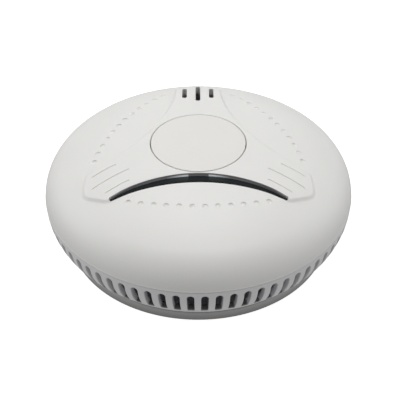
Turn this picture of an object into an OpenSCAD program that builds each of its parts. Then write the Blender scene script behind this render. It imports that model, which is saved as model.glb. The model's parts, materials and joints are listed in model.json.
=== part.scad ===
// Domestic smoke detector, ceiling side down. Millimetres, +Z towards the room.
// The origin is the middle of the mounting plate's ceiling face.

/* [Body] */
// Diameter of the body at the seam
body_d = 120; // [114:0.5:128]
// Height of the seam above the ceiling
seam_z = 21.6; // [20.5:0.1:23]
// Height of the dome's crown above the ceiling
crown_z = 43.8; // [42:0.05:47]
// Radius of the dome's crown
crown_r = 213; // [190:1:300]
// Radius of the dome's shoulder
shoulder_r = 58; // [48:1:68]
// Radius of the dome's edge above the seam
edge_r = 15; // [12:0.5:17]
// Radius of the skirt's curve below the seam
skirt_r = 21.4; // [20.5:0.1:28]
// Step of the skirt inside the cover's edge
skirt_step = 0.1; // [0.05:0.05:0.4]
// Height of the skirt's upright foot
skirt_foot = 0.5; // [0.4:0.1:1]
// Wall of the front cover
cover_wall = 2.2; // [1.8:0.1:2.6]
// Wall of the vented skirt
skirt_wall = 2.2; // [1.8:0.1:2.6]
// Height of the shadow line at the seam
seam_gap = 0.2; // [0.2:0.1:0.8]
// Depth of the shadow line at the seam
seam_depth = 0.4; // [0.3:0.1:0.9]
// Height of the housing's tongue inside the cover
tongue_h = 2.4; // [1.5:0.1:3.5]
// Thickness of the housing's tongue
tongue_t = 1.2; // [0.8:0.1:1.6]

/* [Raised panel] */
// Height of the panel above the dome
panel_rise = 0.85; // [0.4:0.05:1.6]
// Distance of the panel's hollow sides from the axis
panel_waist = 19.9; // [19.6:0.1:21]
// Distance of the arm's neck from the axis
arm_neck = 43.2; // [42:0.1:44.5]
// Half width of the arm at its neck
arm_half = 8.9; // [8.4:0.1:9.6]
// Distance of the arm's tip from the axis
arm_tip = 49.3; // [47:0.1:51]
// Length cut off the arm's tip
tip_flat = 0.7; // [0.3:0.1:1.5]
// Slope of the panel's edges
edge_slope = 45; // [40:1:60]

/* [Test button] */
// Diameter of the button
button_d = 36.2; // [32:0.1:36.3]
// Gap round the button
button_gap = 0.35; // [0.3:0.05:0.5]
// Thickness of the button's face
button_t = 2; // [1.4:0.1:2.4]
// Wall of the button's rim
button_wall = 1.6; // [1.2:0.1:2]
// Chamfer of the button and of its bore
button_chamfer = 0.3; // [0.1:0.1:0.5]
// Travel of the button
button_travel = 0.6; // [0.4:0.1:0.8]
// Reach of the button's retaining lips
lip_out = 1.4; // [1:0.1:1.8]
// Width of a retaining lip
lip_w = 7; // [5:0.5:9]
// Thickness of a retaining lip
lip_t = 1.4; // [1:0.1:1.8]
// Clearance of the lips below the cover
lip_gap = 0.3; // [0.3:0.05:0.5]
// Diameter of the button's stem
stem_d = 5; // [4:0.5:7]
// Clearance between stem and switch plunger
stem_gap = 0.1; // [0.05:0.05:0.3]

/* [Indicator window] */
// Distance of the window's inner edge from the axis
window_top = 19; // [18.95:0.05:20]
// Distance of the window's outer edge from the axis
window_bottom = 23.05; // [22:0.05:23.6]
// Half length of the window
window_half = 32.6; // [30:0.1:33.5]
// Rise of the window's inner arc
window_sweep_in = 9.2; // [8.7:0.1:10.5]
// Rise of the window's outer arc
window_sweep_out = 6.6; // [6.4:0.1:7.8]
// Depth of the window below the dome
window_recess = 0.15; // [0.05:0.05:0.5]
// Clearance of the window in the cover
window_clear = 0.1; // [0.05:0.05:0.2]
// Width of the window's flange
flange_w = 1.2; // [0.8:0.1:2]
// Thickness of the window's flange
flange_t = 1; // [0.8:0.1:1.4]

/* [Dents, grooves and sound slots] */
// Dents in a row
dent_count = 12; // [6:1:14]
// Spacing of the dents
dent_pitch = 4.66; // [4.2:0.02:4.8]
// Distance of the row's middle from the axis
dent_distance = 34.8; // [33:0.1:36]
// Radius of a row of dents
dent_row_r = 86; // [70:1:120]
// Diameter of a dent
dent_d = 2.2; // [1:0.1:2.4]
// Depth of a dent
dent_depth = 0.45; // [0.2:0.05:0.6]
// Spacing of the grooves and sound slots on an arm
mark_pitch = 5.45; // [5:0.05:6]
// Inner end of the middle mark
mark_start = 29.8; // [27:0.1:32]
// Outer end of the middle mark
mark_end = 45.5; // [42:0.1:47]
// Inner end of the side marks
side_start = 32.6; // [30:0.1:35]
// Outer end of the side marks
side_end = 42.7; // [40:0.1:43.5]
// Width of a groove
groove_w = 1; // [0.6:0.1:1.5]
// Depth of a groove
groove_depth = 0.3; // [0.2:0.05:0.8]
// Width of a sound slot
sound_w = 1.9; // [1.4:0.1:2.4]

/* [Vents] */
// Vent slots round the skirt
vent_count = 72; // [48:3:78]
// Width of a vent slot
vent_w = 2.8; // [1.8:0.1:3]
// Height of the slots' lower end
vent_low = 9.2; // [7:0.1:13]
// Distance of the slots' upper end below the seam
vent_drop = 1.6; // [1.2:0.1:3]
// Turn of the slots, as a share of their spacing
vent_turn = 0.4; // [0:0.05:1]

/* [Mounting plate] */
// Height of the plate's rim
plate_h = 4; // [3.5:0.1:5]
// Thickness of the plate's floor
plate_t = 2; // [1.6:0.1:2.6]
// Thickness of the plate's rim
plate_rim = 2; // [1.5:0.1:3]
// Rounding of the plate's rim
plate_round = 0.8; // [0.4:0.1:1]
// Inset of the plate below the skirt's foot
plate_inset = 0.2; // [0:0.1:2]
// Running gap between plate and head
head_gap = 0.4; // [0.3:0.05:0.6]
// Spacing of the ceiling screw slots
screw_spacing = 60; // [50:0.5:64]
// Width of a ceiling screw slot
screw_slot_w = 4; // [3.5:0.1:4.5]
// Length of a ceiling screw slot
screw_slot_l = 10; // [8:0.5:14]
// Radius of the bayonet hooks
hook_r = 38; // [36:0.1:39]
// Radial thickness of a hook
hook_t = 2.4; // [2:0.1:3]
// Angle that a hook's post covers
hook_post = 8; // [6:0.5:10]
// Angle that a hook's lip covers
hook_lip = 11; // [9:0.5:12]
// Thickness of a hook's lip
hook_lip_t = 1.6; // [1.2:0.1:2]
// Clearance round the hooks
hook_clear = 0.3; // [0.3:0.05:0.5]
// Turn that frees the head
twist = 13; // [12.5:0.5:16]

/* [Rear housing] */
// Thickness of the housing's floor
floor_t = 2; // [1.6:0.1:2.4]
// Inset of the housing screws from the body's edge
boss_inset = 13.5; // [12.5:0.1:14.5]
// Diameter of a screw boss
boss_d = 6.8; // [6.2:0.1:7.4]
// Height where the bosses of cover and housing meet
boss_joint = 15; // [12:0.5:18]
// Diameter of a board post
post_d = 6; // [5:0.1:6.4]
// Thickness of a cell saddle
saddle_t = 3; // [2:0.5:4]
// Width of a cell saddle
saddle_w = 11.4; // [9:0.1:13]
// Height of a saddle's sides above the cell's underside
saddle_up = 4.2; // [3:0.1:5]
// Height of the cell above the floor
saddle_h = 1.6; // [1:0.1:2.5]
// Spacing of the cell saddles
saddle_pitch = 18; // [12:1:24]
// Clearance of the cell in its saddles
cell_clear = 0.1; // [0.05:0.05:0.3]

/* [Screws] */
// Diameter of a housing screw
screw_d = 2.9; // [2.5:0.1:3.2]
// Length of a housing screw's shank
screw_l = 17; // [14:0.5:20]
// Diameter of a housing screw's head
screw_head_d = 5; // [4.4:0.1:5.2]
// Height of a housing screw's head
screw_head_h = 2; // [1.5:0.1:2.4]
// Diameter of a board screw
pin_screw_d = 2.2; // [1.8:0.1:2.6]
// Length of a board screw's shank
pin_screw_l = 8; // [6:0.5:12]
// Diameter of a board screw's head
pin_head_d = 4.6; // [4:0.1:5.2]
// Height of a board screw's head
pin_head_h = 1.6; // [1.2:0.1:2]
// Clearance of a screw in its hole
screw_clear = 0.05; // [0.03:0.01:0.1]
// Width of the drive recess in a screw head
drive_w = 0.7; // [0.5:0.1:1]
// Depth of the drive recess in a screw head
drive_depth = 0.8; // [0.5:0.1:1]

/* [Circuit board] */
// Thickness of the circuit board
board_t = 1.6; // [1.2:0.1:2]
// Clearance round the board
board_clear = 1; // [0.6:0.1:2]
// Room between cell and board
board_room = 1; // [0.5:0.1:2]

/* [Optical chamber] */
// Diameter of the optical chamber
chamber_d = 46; // [42:0.5:48]
// Height of the optical chamber
chamber_h = 16.4; // [15:0.1:17.5]
// Distance of the chamber behind the axis
chamber_y = 4; // [2:0.5:6]
// Thickness of the chamber's base
base_t = 3; // [2:0.1:4]
// Thickness of the chamber's cap
cap_t = 1.4; // [1:0.1:2]
// Thickness of the insect screen
screen_t = 0.4; // [0.3:0.1:0.8]
// Openings round the insect screen
screen_count = 36; // [24:2:48]
// Width of the bars of the insect screen
screen_bar = 0.8; // [0.5:0.1:1.5]
// Vanes of the labyrinth
vane_count = 14; // [10:1:16]
// Thickness of a vane
vane_t = 1; // [0.8:0.1:1.2]
// Slant of a vane's legs
vane_slant = 40; // [30:1:50]
// Length of a vane's leg
vane_l = 4.4; // [3.5:0.1:4.8]
// Distance of the vanes inside the screen
vane_inset = 3.2; // [3:0.1:4]
// Clearance above the vanes
vane_clear = 0.2; // [0.1:0.05:0.5]
// Diameter of the emitter and of the photodiode
optic_d = 5; // [4:0.1:5.4]
// Length of their bodies
optic_l = 6; // [5:0.1:7]
// Distance of their backs from the chamber's axis
optic_back = 14.5; // [13:0.1:14.8]
// Wall of their holders
holder_wall = 1.2; // [1:0.1:1.6]
// Clearance in their holders
optic_clear = 0.1; // [0.05:0.05:0.2]
// Thickness of the rim at their backs
optic_rim = 0.8; // [0.6:0.1:1]
// Distance of their leads behind their backs
lead_out = 1.4; // [1.2:0.1:1.6]
// Direction of the emitter
emitter_at = 205; // [190:1:220]
// Direction of the photodiode
photodiode_at = 340; // [325:1:355]
// Thickness of a lead
lead_d = 0.6; // [0.4:0.1:0.7]
// Spacing of the leads
lead_pitch = 2.54; // [2:0.02:2.8]
// Clearance round a lead
lead_clear = 0.15; // [0.1:0.05:0.3]

/* [Sounder] */
// Diameter of the sounder
sounder_d = 28; // [24:0.5:29]
// Height of the sounder
sounder_h = 7; // [6:0.1:8]
// Distance of the sounder behind the axis
sounder_y = 27; // [25:0.5:27.5]
// Wall of the sounder
sounder_wall = 1.4; // [1:0.1:2]
// Ledge that carries the brass disc
sounder_ledge = 1; // [0.6:0.1:1.5]
// Height of the ledge inside the sounder
ledge_h = 1.6; // [1:0.1:2.4]
// Thickness of the sounder's lid
lid_t = 1.2; // [0.8:0.1:1.6]
// Diameter of the sound hole
sound_hole_d = 6; // [4:0.5:9]
// Thickness of the brass disc
disc_t = 0.3; // [0.2:0.05:0.5]
// Diameter of the ceramic disc
ceramic_d = 17; // [12:0.5:20]
// Thickness of the ceramic disc
ceramic_t = 0.3; // [0.2:0.05:0.5]
// Clearance inside the sounder
sounder_clear = 0.1; // [0.05:0.05:0.2]

/* [Test switch] */
// Width of the test switch
switch_w = 6; // [5:0.1:7]
// Height of the test switch
switch_h = 3.5; // [3:0.1:5]
// Diameter of the switch's plunger
plunger_d = 3.4; // [2.5:0.1:4]
// Height of the plunger above the switch
plunger_out = 3.9; // [2:0.1:4.5]
// Depth of the plunger in the switch
plunger_in = 1.3; // [0.8:0.1:1.6]
// Clearance round the plunger
plunger_clear = 0.3; // [0.3:0.05:0.5]

/* [Status light] */
// Width of the status light
led_w = 3.2; // [2.4:0.1:4]
// Depth of the status light
led_d = 1.8; // [1.4:0.1:2.2]
// Height of the status light
led_h = 1.4; // [1:0.1:2]
// Width of the light guide
guide_w = 7; // [5:0.1:9]
// Thickness of the light guide
guide_t = 2; // [1.6:0.1:2.2]
// Gap at both ends of the light guide
guide_gap = 0.2; // [0.1:0.05:0.5]

/* [Cell] */
// Diameter of the cell
cell_d = 17; // [14:0.1:17.5]
// Length of the cell
cell_l = 34.5; // [30:0.1:36]
// Diameter of the cell's terminal
nub_d = 6.4; // [5:0.1:8]
// Height of the cell's terminal
nub_h = 1; // [0.6:0.1:1.4]
// Room between chamber and cell
cell_room = 8.5; // [8:0.1:9.5]
// Distance of the cell's middle to the left
cell_left = 2.5; // [1.5:0.1:4]
// Width of a contact tab
tab_w = 5; // [4:0.1:7]
// Thickness of a contact tab
tab_t = 0.3; // [0.2:0.05:0.5]

/* [Board parts] */
// Length of the microcontroller
chip_l = 10; // [8:0.1:11]
// Width of the microcontroller
chip_w = 4; // [3.5:0.1:5]
// Height of the microcontroller
chip_h = 1.7; // [1.2:0.1:2.2]
// Legs on each side of the microcontroller
chip_legs = 8; // [4:1:8]
// Reach of a microcontroller leg
chip_leg = 1; // [0.6:0.1:1.4]
// Width of a microcontroller leg
leg_w = 0.4; // [0.3:0.05:0.6]
// Thickness of a microcontroller leg
leg_t = 0.28; // [0.2:0.02:0.4]
// Diameter of the capacitor
cap_d = 6.3; // [5:0.1:7]
// Height of the capacitor
cap_h = 7.7; // [6:0.1:9]
// Diameter of the sounder's inductor
coil_d = 8; // [6:0.1:9]
// Height of the sounder's inductor
coil_h = 8.6; // [6:0.1:9]
// Thickness of the inductor's end plates
coil_end = 1.4; // [1:0.1:2]
// Depth of the inductor's winding below its end plates
coil_waist = 0.6; // [0.3:0.1:1]
// Resistors in the row
chip_r_count = 6; // [3:1:7]
// Length of a resistor
chip_r_l = 3.2; // [2:0.1:3.4]
// Width of a resistor
chip_r_w = 1.6; // [1.2:0.1:1.8]
// Height of a resistor
chip_r_h = 0.6; // [0.4:0.1:0.8]
// Spacing of the resistors
chip_r_pitch = 2.6; // [2.4:0.1:3]

/* [Hidden] */

// Circle steps of small, middle and large round forms
fn_small = 24;
fn_mid = 64;
fn_big = 144;
fn_arc = 360;

// Overlap of joined solids and overshoot of cuts
sink = 0.5;
over = 1;

// Depth and half width of the flat where two arcs of the dome meet
blend = 0.01;
blend_w = 2 * sqrt(2 * crown_r * blend);

// Directions of the arms, of the panel's sides and of the housing screws
arms = [90, 210, 330];
sound_arm = 90;
groove_arms = [210, 330];
sides = [30, 150, 270];
screw_dirs = [60, 180, 300];
half_turn = 180;
quarter = 90;
side_step = 60;

body_r = body_d / 2;
button_r = button_d / 2;
bore_r = button_r + button_gap;

// Centres of the dome's three arcs, which meet without a kink
c1 = [0, crown_z - crown_r];
c3 = [body_r - edge_r, seam_z];
reach_1 = crown_r - shoulder_r;
reach_3 = shoulder_r - edge_r;
span = norm(c3 - c1);
foot = (reach_1 * reach_1 - reach_3 * reach_3 + span * span) / (2 * span);
aim = (c3 - c1) / span;
c2 = c1 + foot * aim - sqrt(reach_1 * reach_1 - foot * foot) * [aim[1], -aim[0]];
dir_12 = (c2 - c1) / norm(c2 - c1);
dir_23 = (c3 - c2) / norm(c3 - c2);
edge_dir = atan2(dir_23[1], dir_23[0]);

// Points where the arcs meet, and the dome's height at a radius, on the skin moved out by g
function join_1(g) = c1 + (crown_r + g) * dir_12;
function join_2(g) = c2 + (shoulder_r + g) * dir_23;
function arc_z(c, rad, r) = c[1] + sqrt(rad * rad - (r - c[0]) * (r - c[0]));
function dome_z(r, g = 0) =
    r < join_1(g)[0] ? arc_z(c1, crown_r + g, r)
    : r < join_2(g)[0] ? arc_z(c2, shoulder_r + g, r)
    : arc_z(c3, edge_r + g, r);
function polar(r, a) = [r * cos(a), r * sin(a)];
top_z = crown_z + panel_rise;

// Cone that cuts a hollow side of the panel: it meets the waist and both necks
edge_run = 1 / tan(edge_slope);
waist_z = dome_z(panel_waist, panel_rise);
neck_x = arm_neck * cos(side_step) + arm_half * sin(side_step);
neck_y = arm_neck * sin(side_step) - arm_half * cos(side_step);
neck_z = dome_z(norm([arm_neck, arm_half]), panel_rise);
tip_z = dome_z(arm_tip, panel_rise);
neck_in = panel_waist + edge_run * (waist_z - neck_z);
cone_at = (neck_x * neck_x + neck_y * neck_y - neck_in * neck_in) / (2 * (neck_x - neck_in));
cone_r = cone_at - panel_waist;
cone_h = 15;
cut_size = 14;

// Radii of the window's two arcs
window_in_r = (window_half * window_half + window_sweep_in * window_sweep_in) / (2 * window_sweep_in);
window_out_r = (window_half * window_half + window_sweep_out * window_sweep_out) / (2 * window_sweep_out);
window_mid = (window_top + window_bottom) / 2;

// Ball that presses a dent
dent_ball = (dent_d * dent_d / 4 + dent_depth * dent_depth) / (2 * dent_depth);
dent_lift = dent_ball - dent_depth;

// Heights from the ceiling upwards
head_z = plate_h + head_gap;
floor_z = head_z + floor_t;
cell_z = floor_z + saddle_h + cell_d / 2;
board_z = cell_z + cell_d / 2 + board_room;
board_top = board_z + board_t;
vent_high = seam_z - vent_drop;
lip_low = floor_z + hook_clear;
hook_top = lip_low + hook_lip_t;

// Skirt, plate and bosses; the skirt's radius at a height, on its curve of radius rad
function skirt_at(rad, z) = skirt_c[0] + sqrt(rad * rad - (skirt_c[1] - z) * (skirt_c[1] - z));
skirt_top_r = body_r - skirt_step;
skirt_c = [skirt_top_r - skirt_r, seam_z];
foot_r = skirt_at(skirt_r, head_z + skirt_foot);
skirt_in = skirt_r - skirt_wall;
floor_r = skirt_at(skirt_in, floor_z);
plate_r = foot_r - plate_inset;
tongue_r = body_r - cover_wall - seam_depth;
screw_ring = body_r - boss_inset;
board_r = screw_ring - boss_d / 2 - board_clear;
screw_z = head_z + screw_head_h + hook_clear;
screw_top = screw_z + screw_l;

// Chamber, cell and board posts
chamber_r = chamber_d / 2;
chamber_low = board_z - chamber_h;
base_z = board_z - base_t;
optic_z = (chamber_low + cap_t + base_z) / 2;
lead_r = optic_back + lead_out;
cell_y = chamber_y - chamber_r - cell_room - cell_d / 2;
post_y = chamber_y - chamber_r - cell_room / 2;
side_post = [31, 11.3];
front_post_x = 8;
posts = [side_post, [-side_post[0], side_post[1]], [front_post_x, post_y]];

// Places of the parts on the board
chip_at = [-17, -13];
cap_at = [16, -13];
coil_at = [25, -3];
chip_r_at = [-27, -3];

// Sounder, switch and light guide heights
ledge_z = board_top + ledge_h;
sounder_top = board_top + sounder_h;
cavity_r = sounder_d / 2 - sounder_wall;
switch_top = board_top + switch_h;
plunger_top = switch_top + plunger_out;
led_top = board_top + led_h;
window_under = cover_wall + window_clear + flange_t;
rim_z = dome_z(button_r, panel_rise);
lip_r = button_r + lip_out;
lip_top = dome_z(lip_r, -cover_wall) - lip_gap;

// Half section of the dome above the seam, with its skin moved out by g:
// a block less what lies outside each arc
module dome_half(g) {
    k = [0, crown_z + g];
    p = join_1(g);
    q = join_2(g);
    lift = edge_r;
    k_in = k - [0, over];
    k_out = k + [0, lift];
    p_in = p - over * dir_12;
    p_out = p + lift * dir_12;
    q_in = q - over * dir_23;
    q_out = q + lift * dir_23;
    e_mid = c3 + polar(edge_r + g + lift, edge_dir / 2);
    e_out = c3 + [edge_r + g + lift, 0];
    difference() {
        polygon([[0, seam_z], e_out, e_mid, q_out, p_out, k_out]);
        difference() {
            polygon([k_in, p_in, p_out, k_out]);
            translate(c1) circle(r = crown_r + g, $fn = 4 * fn_arc);
        }
        difference() {
            polygon([p_in, q_in, q_out, p_out]);
            translate(c2) circle(r = shoulder_r + g, $fn = fn_arc);
        }
        difference() {
            polygon([c3, e_out, e_mid, q_out]);
            translate(c3) circle(r = edge_r + g, $fn = fn_arc);
        }
        blend_2d(p, dir_12, lift);
        blend_2d(q, dir_23, lift);
    }
}

// Flat of a hair's depth across the point where two arcs meet
module blend_2d(at, up, lift) {
    low = at - blend * up;
    side = blend_w * [up[1], -up[0]];
    polygon([low - side, low + side, low + side + lift * up, low - side + lift * up]);
}

// Solid dome, and the layer between two skins of it
module dome(g) {
    rotate_extrude($fn = fn_big) dome_half(g);
}
module dome_layer(outer, inner) {
    rotate_extrude($fn = fn_big) difference() {
        dome_half(outer);
        dome_half(inner);
    }
}

// Straight slot with round ends, along +X from one end to the other
module slot_2d(from, to, w) {
    translate([from + w / 2, -w / 2]) square([to - from - w, w]);
    translate([from + w / 2, 0]) circle(d = w, $fn = fn_small);
    translate([to - w / 2, 0]) circle(d = w, $fn = fn_small);
}

// Part of a flat ring between two directions
module sector_2d(inner, outer, from, to) {
    far = 2 * outer;
    intersection() {
        difference() {
            circle(r = outer, $fn = fn_big);
            circle(r = inner, $fn = fn_big);
        }
        polygon([[0, 0], polar(far, from), polar(far, (from + to) / 2), polar(far, to)]);
    }
}

// Three parallel marks on an arm that points along +X
module arm_marks(w) {
    slot_2d(mark_start, mark_end, w);
    for (s = [-1, 1]) translate([0, s * mark_pitch]) slot_2d(side_start, side_end, w);
}

// Crescent between the window's arcs, drawn in by c, with its outer edge and ends moved out by wide
module window_2d(c, wide = 0) {
    half = window_half - c + wide;
    intersection() {
        difference() {
            translate([0, -window_top - window_in_r]) circle(r = window_in_r - c, $fn = fn_arc);
            translate([0, -window_bottom - window_out_r]) circle(r = window_out_r + c - wide, $fn = fn_arc);
        }
        translate([-half, -2 * half]) square([2 * half, 2 * half]);
    }
}

// Raised three-armed panel with sloped edges
module side_cut() {
    spread = edge_run * cone_h;
    translate([cone_at, 0, waist_z - cone_h])
        cylinder(r1 = cone_r - spread, r2 = cone_r + spread, h = 2 * cone_h, $fn = fn_arc);
}
module slope_cut() {
    rotate([quarter - edge_slope, 0, 0])
        translate([-cut_size, 0, -cut_size]) cube([2 * cut_size, cut_size, 2 * cut_size]);
}
module tip_cut() {
    run = arm_tip - arm_neck;
    fall = atan2(neck_z - tip_z, norm([run, arm_half]));
    translate([arm_tip, 0, tip_z])
        rotate([0, 0, atan2(-arm_half, run)]) rotate([0, fall, 0]) slope_cut();
}
module panel_half() {
    outer = arm_tip + over;
    rim = dome_z(bore_r, panel_rise) - button_chamfer;
    intersection() {
        difference() {
            dome_half(panel_rise);
            dome_half(-cover_wall / 2);
        }
        polygon([[bore_r, seam_z], [outer, seam_z], [outer, rim + outer - bore_r], [bore_r, rim]]);
    }
}
module panel() {
    difference() {
        rotate_extrude($fn = fn_big) panel_half();
        for (a = arms, m = [0, 1]) rotate([0, 0, a]) mirror([0, m, 0]) tip_cut();
        for (a = arms) rotate([0, 0, a])
            translate([arm_tip - tip_flat, 0, tip_z]) rotate([0, 0, -quarter]) slope_cut();
        for (a = sides) rotate([0, 0, a]) side_cut();
    }
}

// Bosses that take the housing screws
module cover_bosses() {
    for (a = screw_dirs) rotate([0, 0, a]) {
        translate([screw_ring, 0, boss_joint])
            cylinder(d = boss_d, h = seam_z + sink - boss_joint, $fn = fn_mid);
        intersection() {
            translate([screw_ring, 0, seam_z]) cylinder(d = boss_d, h = crown_z - seam_z, $fn = fn_mid);
            dome(-cover_wall / 2);
        }
    }
}

module cover_half() {
    difference() {
        dome_half(0);
        dome_half(-cover_wall);
        translate([0, seam_z]) square([bore_r, crown_z]);
        translate([body_r - seam_depth, seam_z - over]) square([seam_depth + over, seam_gap + over]);
    }
}

module front_cover() {
    color("whitesmoke") difference() {
        union() {
            rotate_extrude($fn = fn_big) cover_half();
            panel();
            cover_bosses();
        }
        translate([0, 0, seam_z]) linear_extrude(height = crown_z) window_2d(0);
        rotate([0, 0, sound_arm]) translate([0, 0, seam_z])
            linear_extrude(height = crown_z) arm_marks(sound_w);
        difference() {
            for (a = groove_arms) rotate([0, 0, a])
                translate([0, 0, seam_z + over]) linear_extrude(height = crown_z) arm_marks(groove_w);
            dome(panel_rise - groove_depth);
        }
        for (a = sides) rotate([0, 0, a]) dents();
        for (a = screw_dirs) rotate([0, 0, a]) translate([screw_ring, 0, boss_joint - over])
            cylinder(d = screw_d + 2 * screw_clear, h = screw_top - boss_joint + 2 * over, $fn = fn_mid);
    }
}

// Row of dents across the direction +X
module dents() {
    for (i = [0 : dent_count - 1]) {
        u = (i - (dent_count - 1) / 2) * dent_pitch;
        v = dent_distance - dent_row_r + sqrt(dent_row_r * dent_row_r - u * u);
        translate([v, u, dome_z(norm([v, u]), dent_lift)]) sphere(r = dent_ball, $fn = fn_small);
    }
}

module button_half() {
    low = lip_top - lip_t;
    rim = rim_z - button_chamfer;
    difference() {
        intersection() {
            dome_half(panel_rise);
            polygon([[0, low], [button_r, low], [button_r, rim], [0, rim + button_r]]);
        }
        intersection() {
            dome_half(panel_rise - button_t);
            translate([0, seam_z]) square([button_r - button_wall, crown_z]);
        }
    }
}
module test_button() {
    color("gainsboro") {
        rotate_extrude($fn = fn_big) button_half();
        for (a = arms) rotate([0, 0, a]) button_lip();
        translate([0, 0, plunger_top + stem_gap])
            cylinder(d = stem_d, h = top_z - button_t + sink - plunger_top - stem_gap, $fn = fn_mid);
    }
}
module button_lip() {
    intersection() {
        translate([0, 0, lip_top - lip_t]) cylinder(r = lip_r, h = lip_t, $fn = fn_big);
        translate([button_r - button_wall / 2, -lip_w / 2, lip_top - lip_t]) cube([lip_r, lip_w, lip_t]);
    }
}

module indicator_window() {
    color("darkslategray") {
        intersection() {
            translate([0, 0, seam_z]) linear_extrude(height = crown_z) window_2d(window_clear);
            dome_layer(-window_recess, -window_under + flange_t / 2);
        }
        intersection() {
            translate([0, 0, seam_z]) linear_extrude(height = crown_z) window_2d(window_clear, flange_w);
            dome_layer(-cover_wall - window_clear, -window_under);
        }
    }
}

module light_guide() {
    color("lightcyan") intersection() {
        translate([-guide_w / 2, -window_mid - guide_t / 2, led_top + guide_gap])
            cube([guide_w, guide_t, crown_z]);
        dome(-window_under - guide_gap);
    }
}

module status_led() {
    color("lightyellow") translate([-led_w / 2, -window_mid - led_d / 2, board_top])
        cube([led_w, led_d, led_h]);
}

// Mounting plate with its bayonet hooks
module plate_half() {
    square([plate_r, plate_t]);
    translate([plate_r - plate_rim, 0]) square([plate_rim, plate_h - plate_round]);
    translate([plate_r - plate_rim, 0]) square([plate_rim - plate_round, plate_h]);
    translate([plate_r - plate_round, plate_h - plate_round]) circle(r = plate_round, $fn = fn_mid);
}
module hook() {
    r_in = hook_r - hook_t / 2;
    r_out = hook_r + hook_t / 2;
    translate([0, 0, plate_t - sink]) linear_extrude(height = hook_top - plate_t + sink)
        sector_2d(r_in, r_out, -hook_post / 2, hook_post / 2);
    translate([0, 0, lip_low]) linear_extrude(height = hook_lip_t)
        sector_2d(r_in, r_out, 0, hook_post / 2 + hook_lip);
}
module mounting_plate() {
    color("silver") difference() {
        union() {
            rotate_extrude($fn = fn_big) plate_half();
            for (a = arms) rotate([0, 0, a]) hook();
        }
        for (s = [-1, 1]) translate([s * screw_spacing / 2, 0, -over])
            linear_extrude(height = plate_t + 2 * over)
                slot_2d(-screw_slot_l / 2, screw_slot_l / 2, screw_slot_w);
    }
}

// Rear housing: floor, vented skirt, bosses, board posts and cell saddles
module skirt_half() {
    intersection() {
        difference() {
            translate(skirt_c) circle(r = skirt_r, $fn = fn_arc);
            translate(skirt_c) circle(r = skirt_in, $fn = fn_arc);
        }
        translate([skirt_c[0], head_z]) square([skirt_r + over, seam_z - head_z]);
    }
    translate([foot_r - skirt_wall, head_z]) square([skirt_wall, skirt_foot + sink]);
}
module tongue_half() {
    low = seam_z - vent_drop / 2;
    translate([tongue_r - tongue_t, low]) square([skirt_top_r - sink - tongue_r + tongue_t, seam_z - low]);
    translate([tongue_r - tongue_t, low]) square([tongue_t, seam_z - low + tongue_h]);
}
module vent_2d() {
    translate([-vent_w / 2, vent_low]) square([vent_w, vent_high - vent_w / 2 - vent_low]);
    translate([0, vent_high - vent_w / 2]) circle(d = vent_w, $fn = fn_small);
}
module vented_skirt() {
    difference() {
        rotate_extrude($fn = fn_big) skirt_half();
        for (i = [0 : vent_count - 1]) rotate([0, 0, (i + vent_turn) * 2 * half_turn / vent_count])
            translate([body_r - 5 * skirt_wall, 0, 0]) rotate([quarter, 0, quarter])
                linear_extrude(height = 6 * skirt_wall) vent_2d();
    }
}
module hook_slots() {
    clear_turn = hook_clear / hook_r * half_turn / PI;
    reach = hook_t / 2 + hook_clear;
    for (a = arms) rotate([0, 0, a]) translate([0, 0, head_z - over])
        linear_extrude(height = floor_t + 2 * over) sector_2d(
            hook_r - reach, hook_r + reach,
            -twist - hook_post / 2 - clear_turn, hook_post / 2 + clear_turn
        );
}
module saddle() {
    low = floor_z - sink;
    difference() {
        translate([-saddle_t / 2, cell_y - saddle_w / 2, low])
            cube([saddle_t, saddle_w, saddle_h + saddle_up + sink]);
        translate([-saddle_t, cell_y, cell_z]) rotate([0, quarter, 0])
            cylinder(d = cell_d + 2 * cell_clear, h = 2 * saddle_t, $fn = fn_big);
    }
}
module rear_housing() {
    color("gainsboro") difference() {
        union() {
            vented_skirt();
            rotate_extrude($fn = fn_big) tongue_half();
            translate([0, 0, head_z]) cylinder(r = floor_r - sink / 2, h = floor_t, $fn = fn_big);
            for (a = screw_dirs) rotate([0, 0, a]) translate([screw_ring, 0, head_z])
                cylinder(d = boss_d, h = boss_joint - head_z, $fn = fn_mid);
            for (p = posts) translate([p[0], p[1], head_z])
                cylinder(d = post_d, h = board_z - head_z, $fn = fn_mid);
            for (s = [-1, 1]) translate([s * saddle_pitch / 2 - cell_left, 0, 0]) saddle();
        }
        hook_slots();
        for (a = screw_dirs) rotate([0, 0, a]) translate([screw_ring, 0, head_z - over]) {
            cylinder(d = screw_head_d + 2 * hook_clear, h = screw_z - head_z + over, $fn = fn_mid);
            cylinder(d = screw_d + 4 * screw_clear, h = boss_joint - head_z + 2 * over, $fn = fn_mid);
        }
        for (p = posts) translate([p[0], p[1], board_top - pin_screw_l - over])
            cylinder(d = pin_screw_d + 2 * screw_clear, h = pin_screw_l + over, $fn = fn_mid);
    }
}

// Pan-head screw that stands on its head's underside, shank along +Z
module pan_screw(d, l, head_d, head_h) {
    difference() {
        union() {
            translate([0, 0, -head_h]) cylinder(d = head_d, h = head_h, $fn = fn_mid);
            cylinder(d = d, h = l, $fn = fn_mid);
        }
        for (a = [0, quarter]) rotate([0, 0, a])
            translate([-head_d / 3, -drive_w / 2, -head_h - over])
                cube([head_d * 2 / 3, drive_w, drive_depth + over]);
    }
}
module housing_screws() {
    color("silver") for (a = screw_dirs) rotate([0, 0, a]) translate([screw_ring, 0, screw_z])
        pan_screw(screw_d, screw_l, screw_head_d, screw_head_h);
}
module board_screws() {
    color("silver") for (p = posts) translate([p[0], p[1], board_top]) rotate([half_turn, 0, 0])
        pan_screw(pin_screw_d, pin_screw_l - over, pin_head_d, pin_head_h);
}

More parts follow.
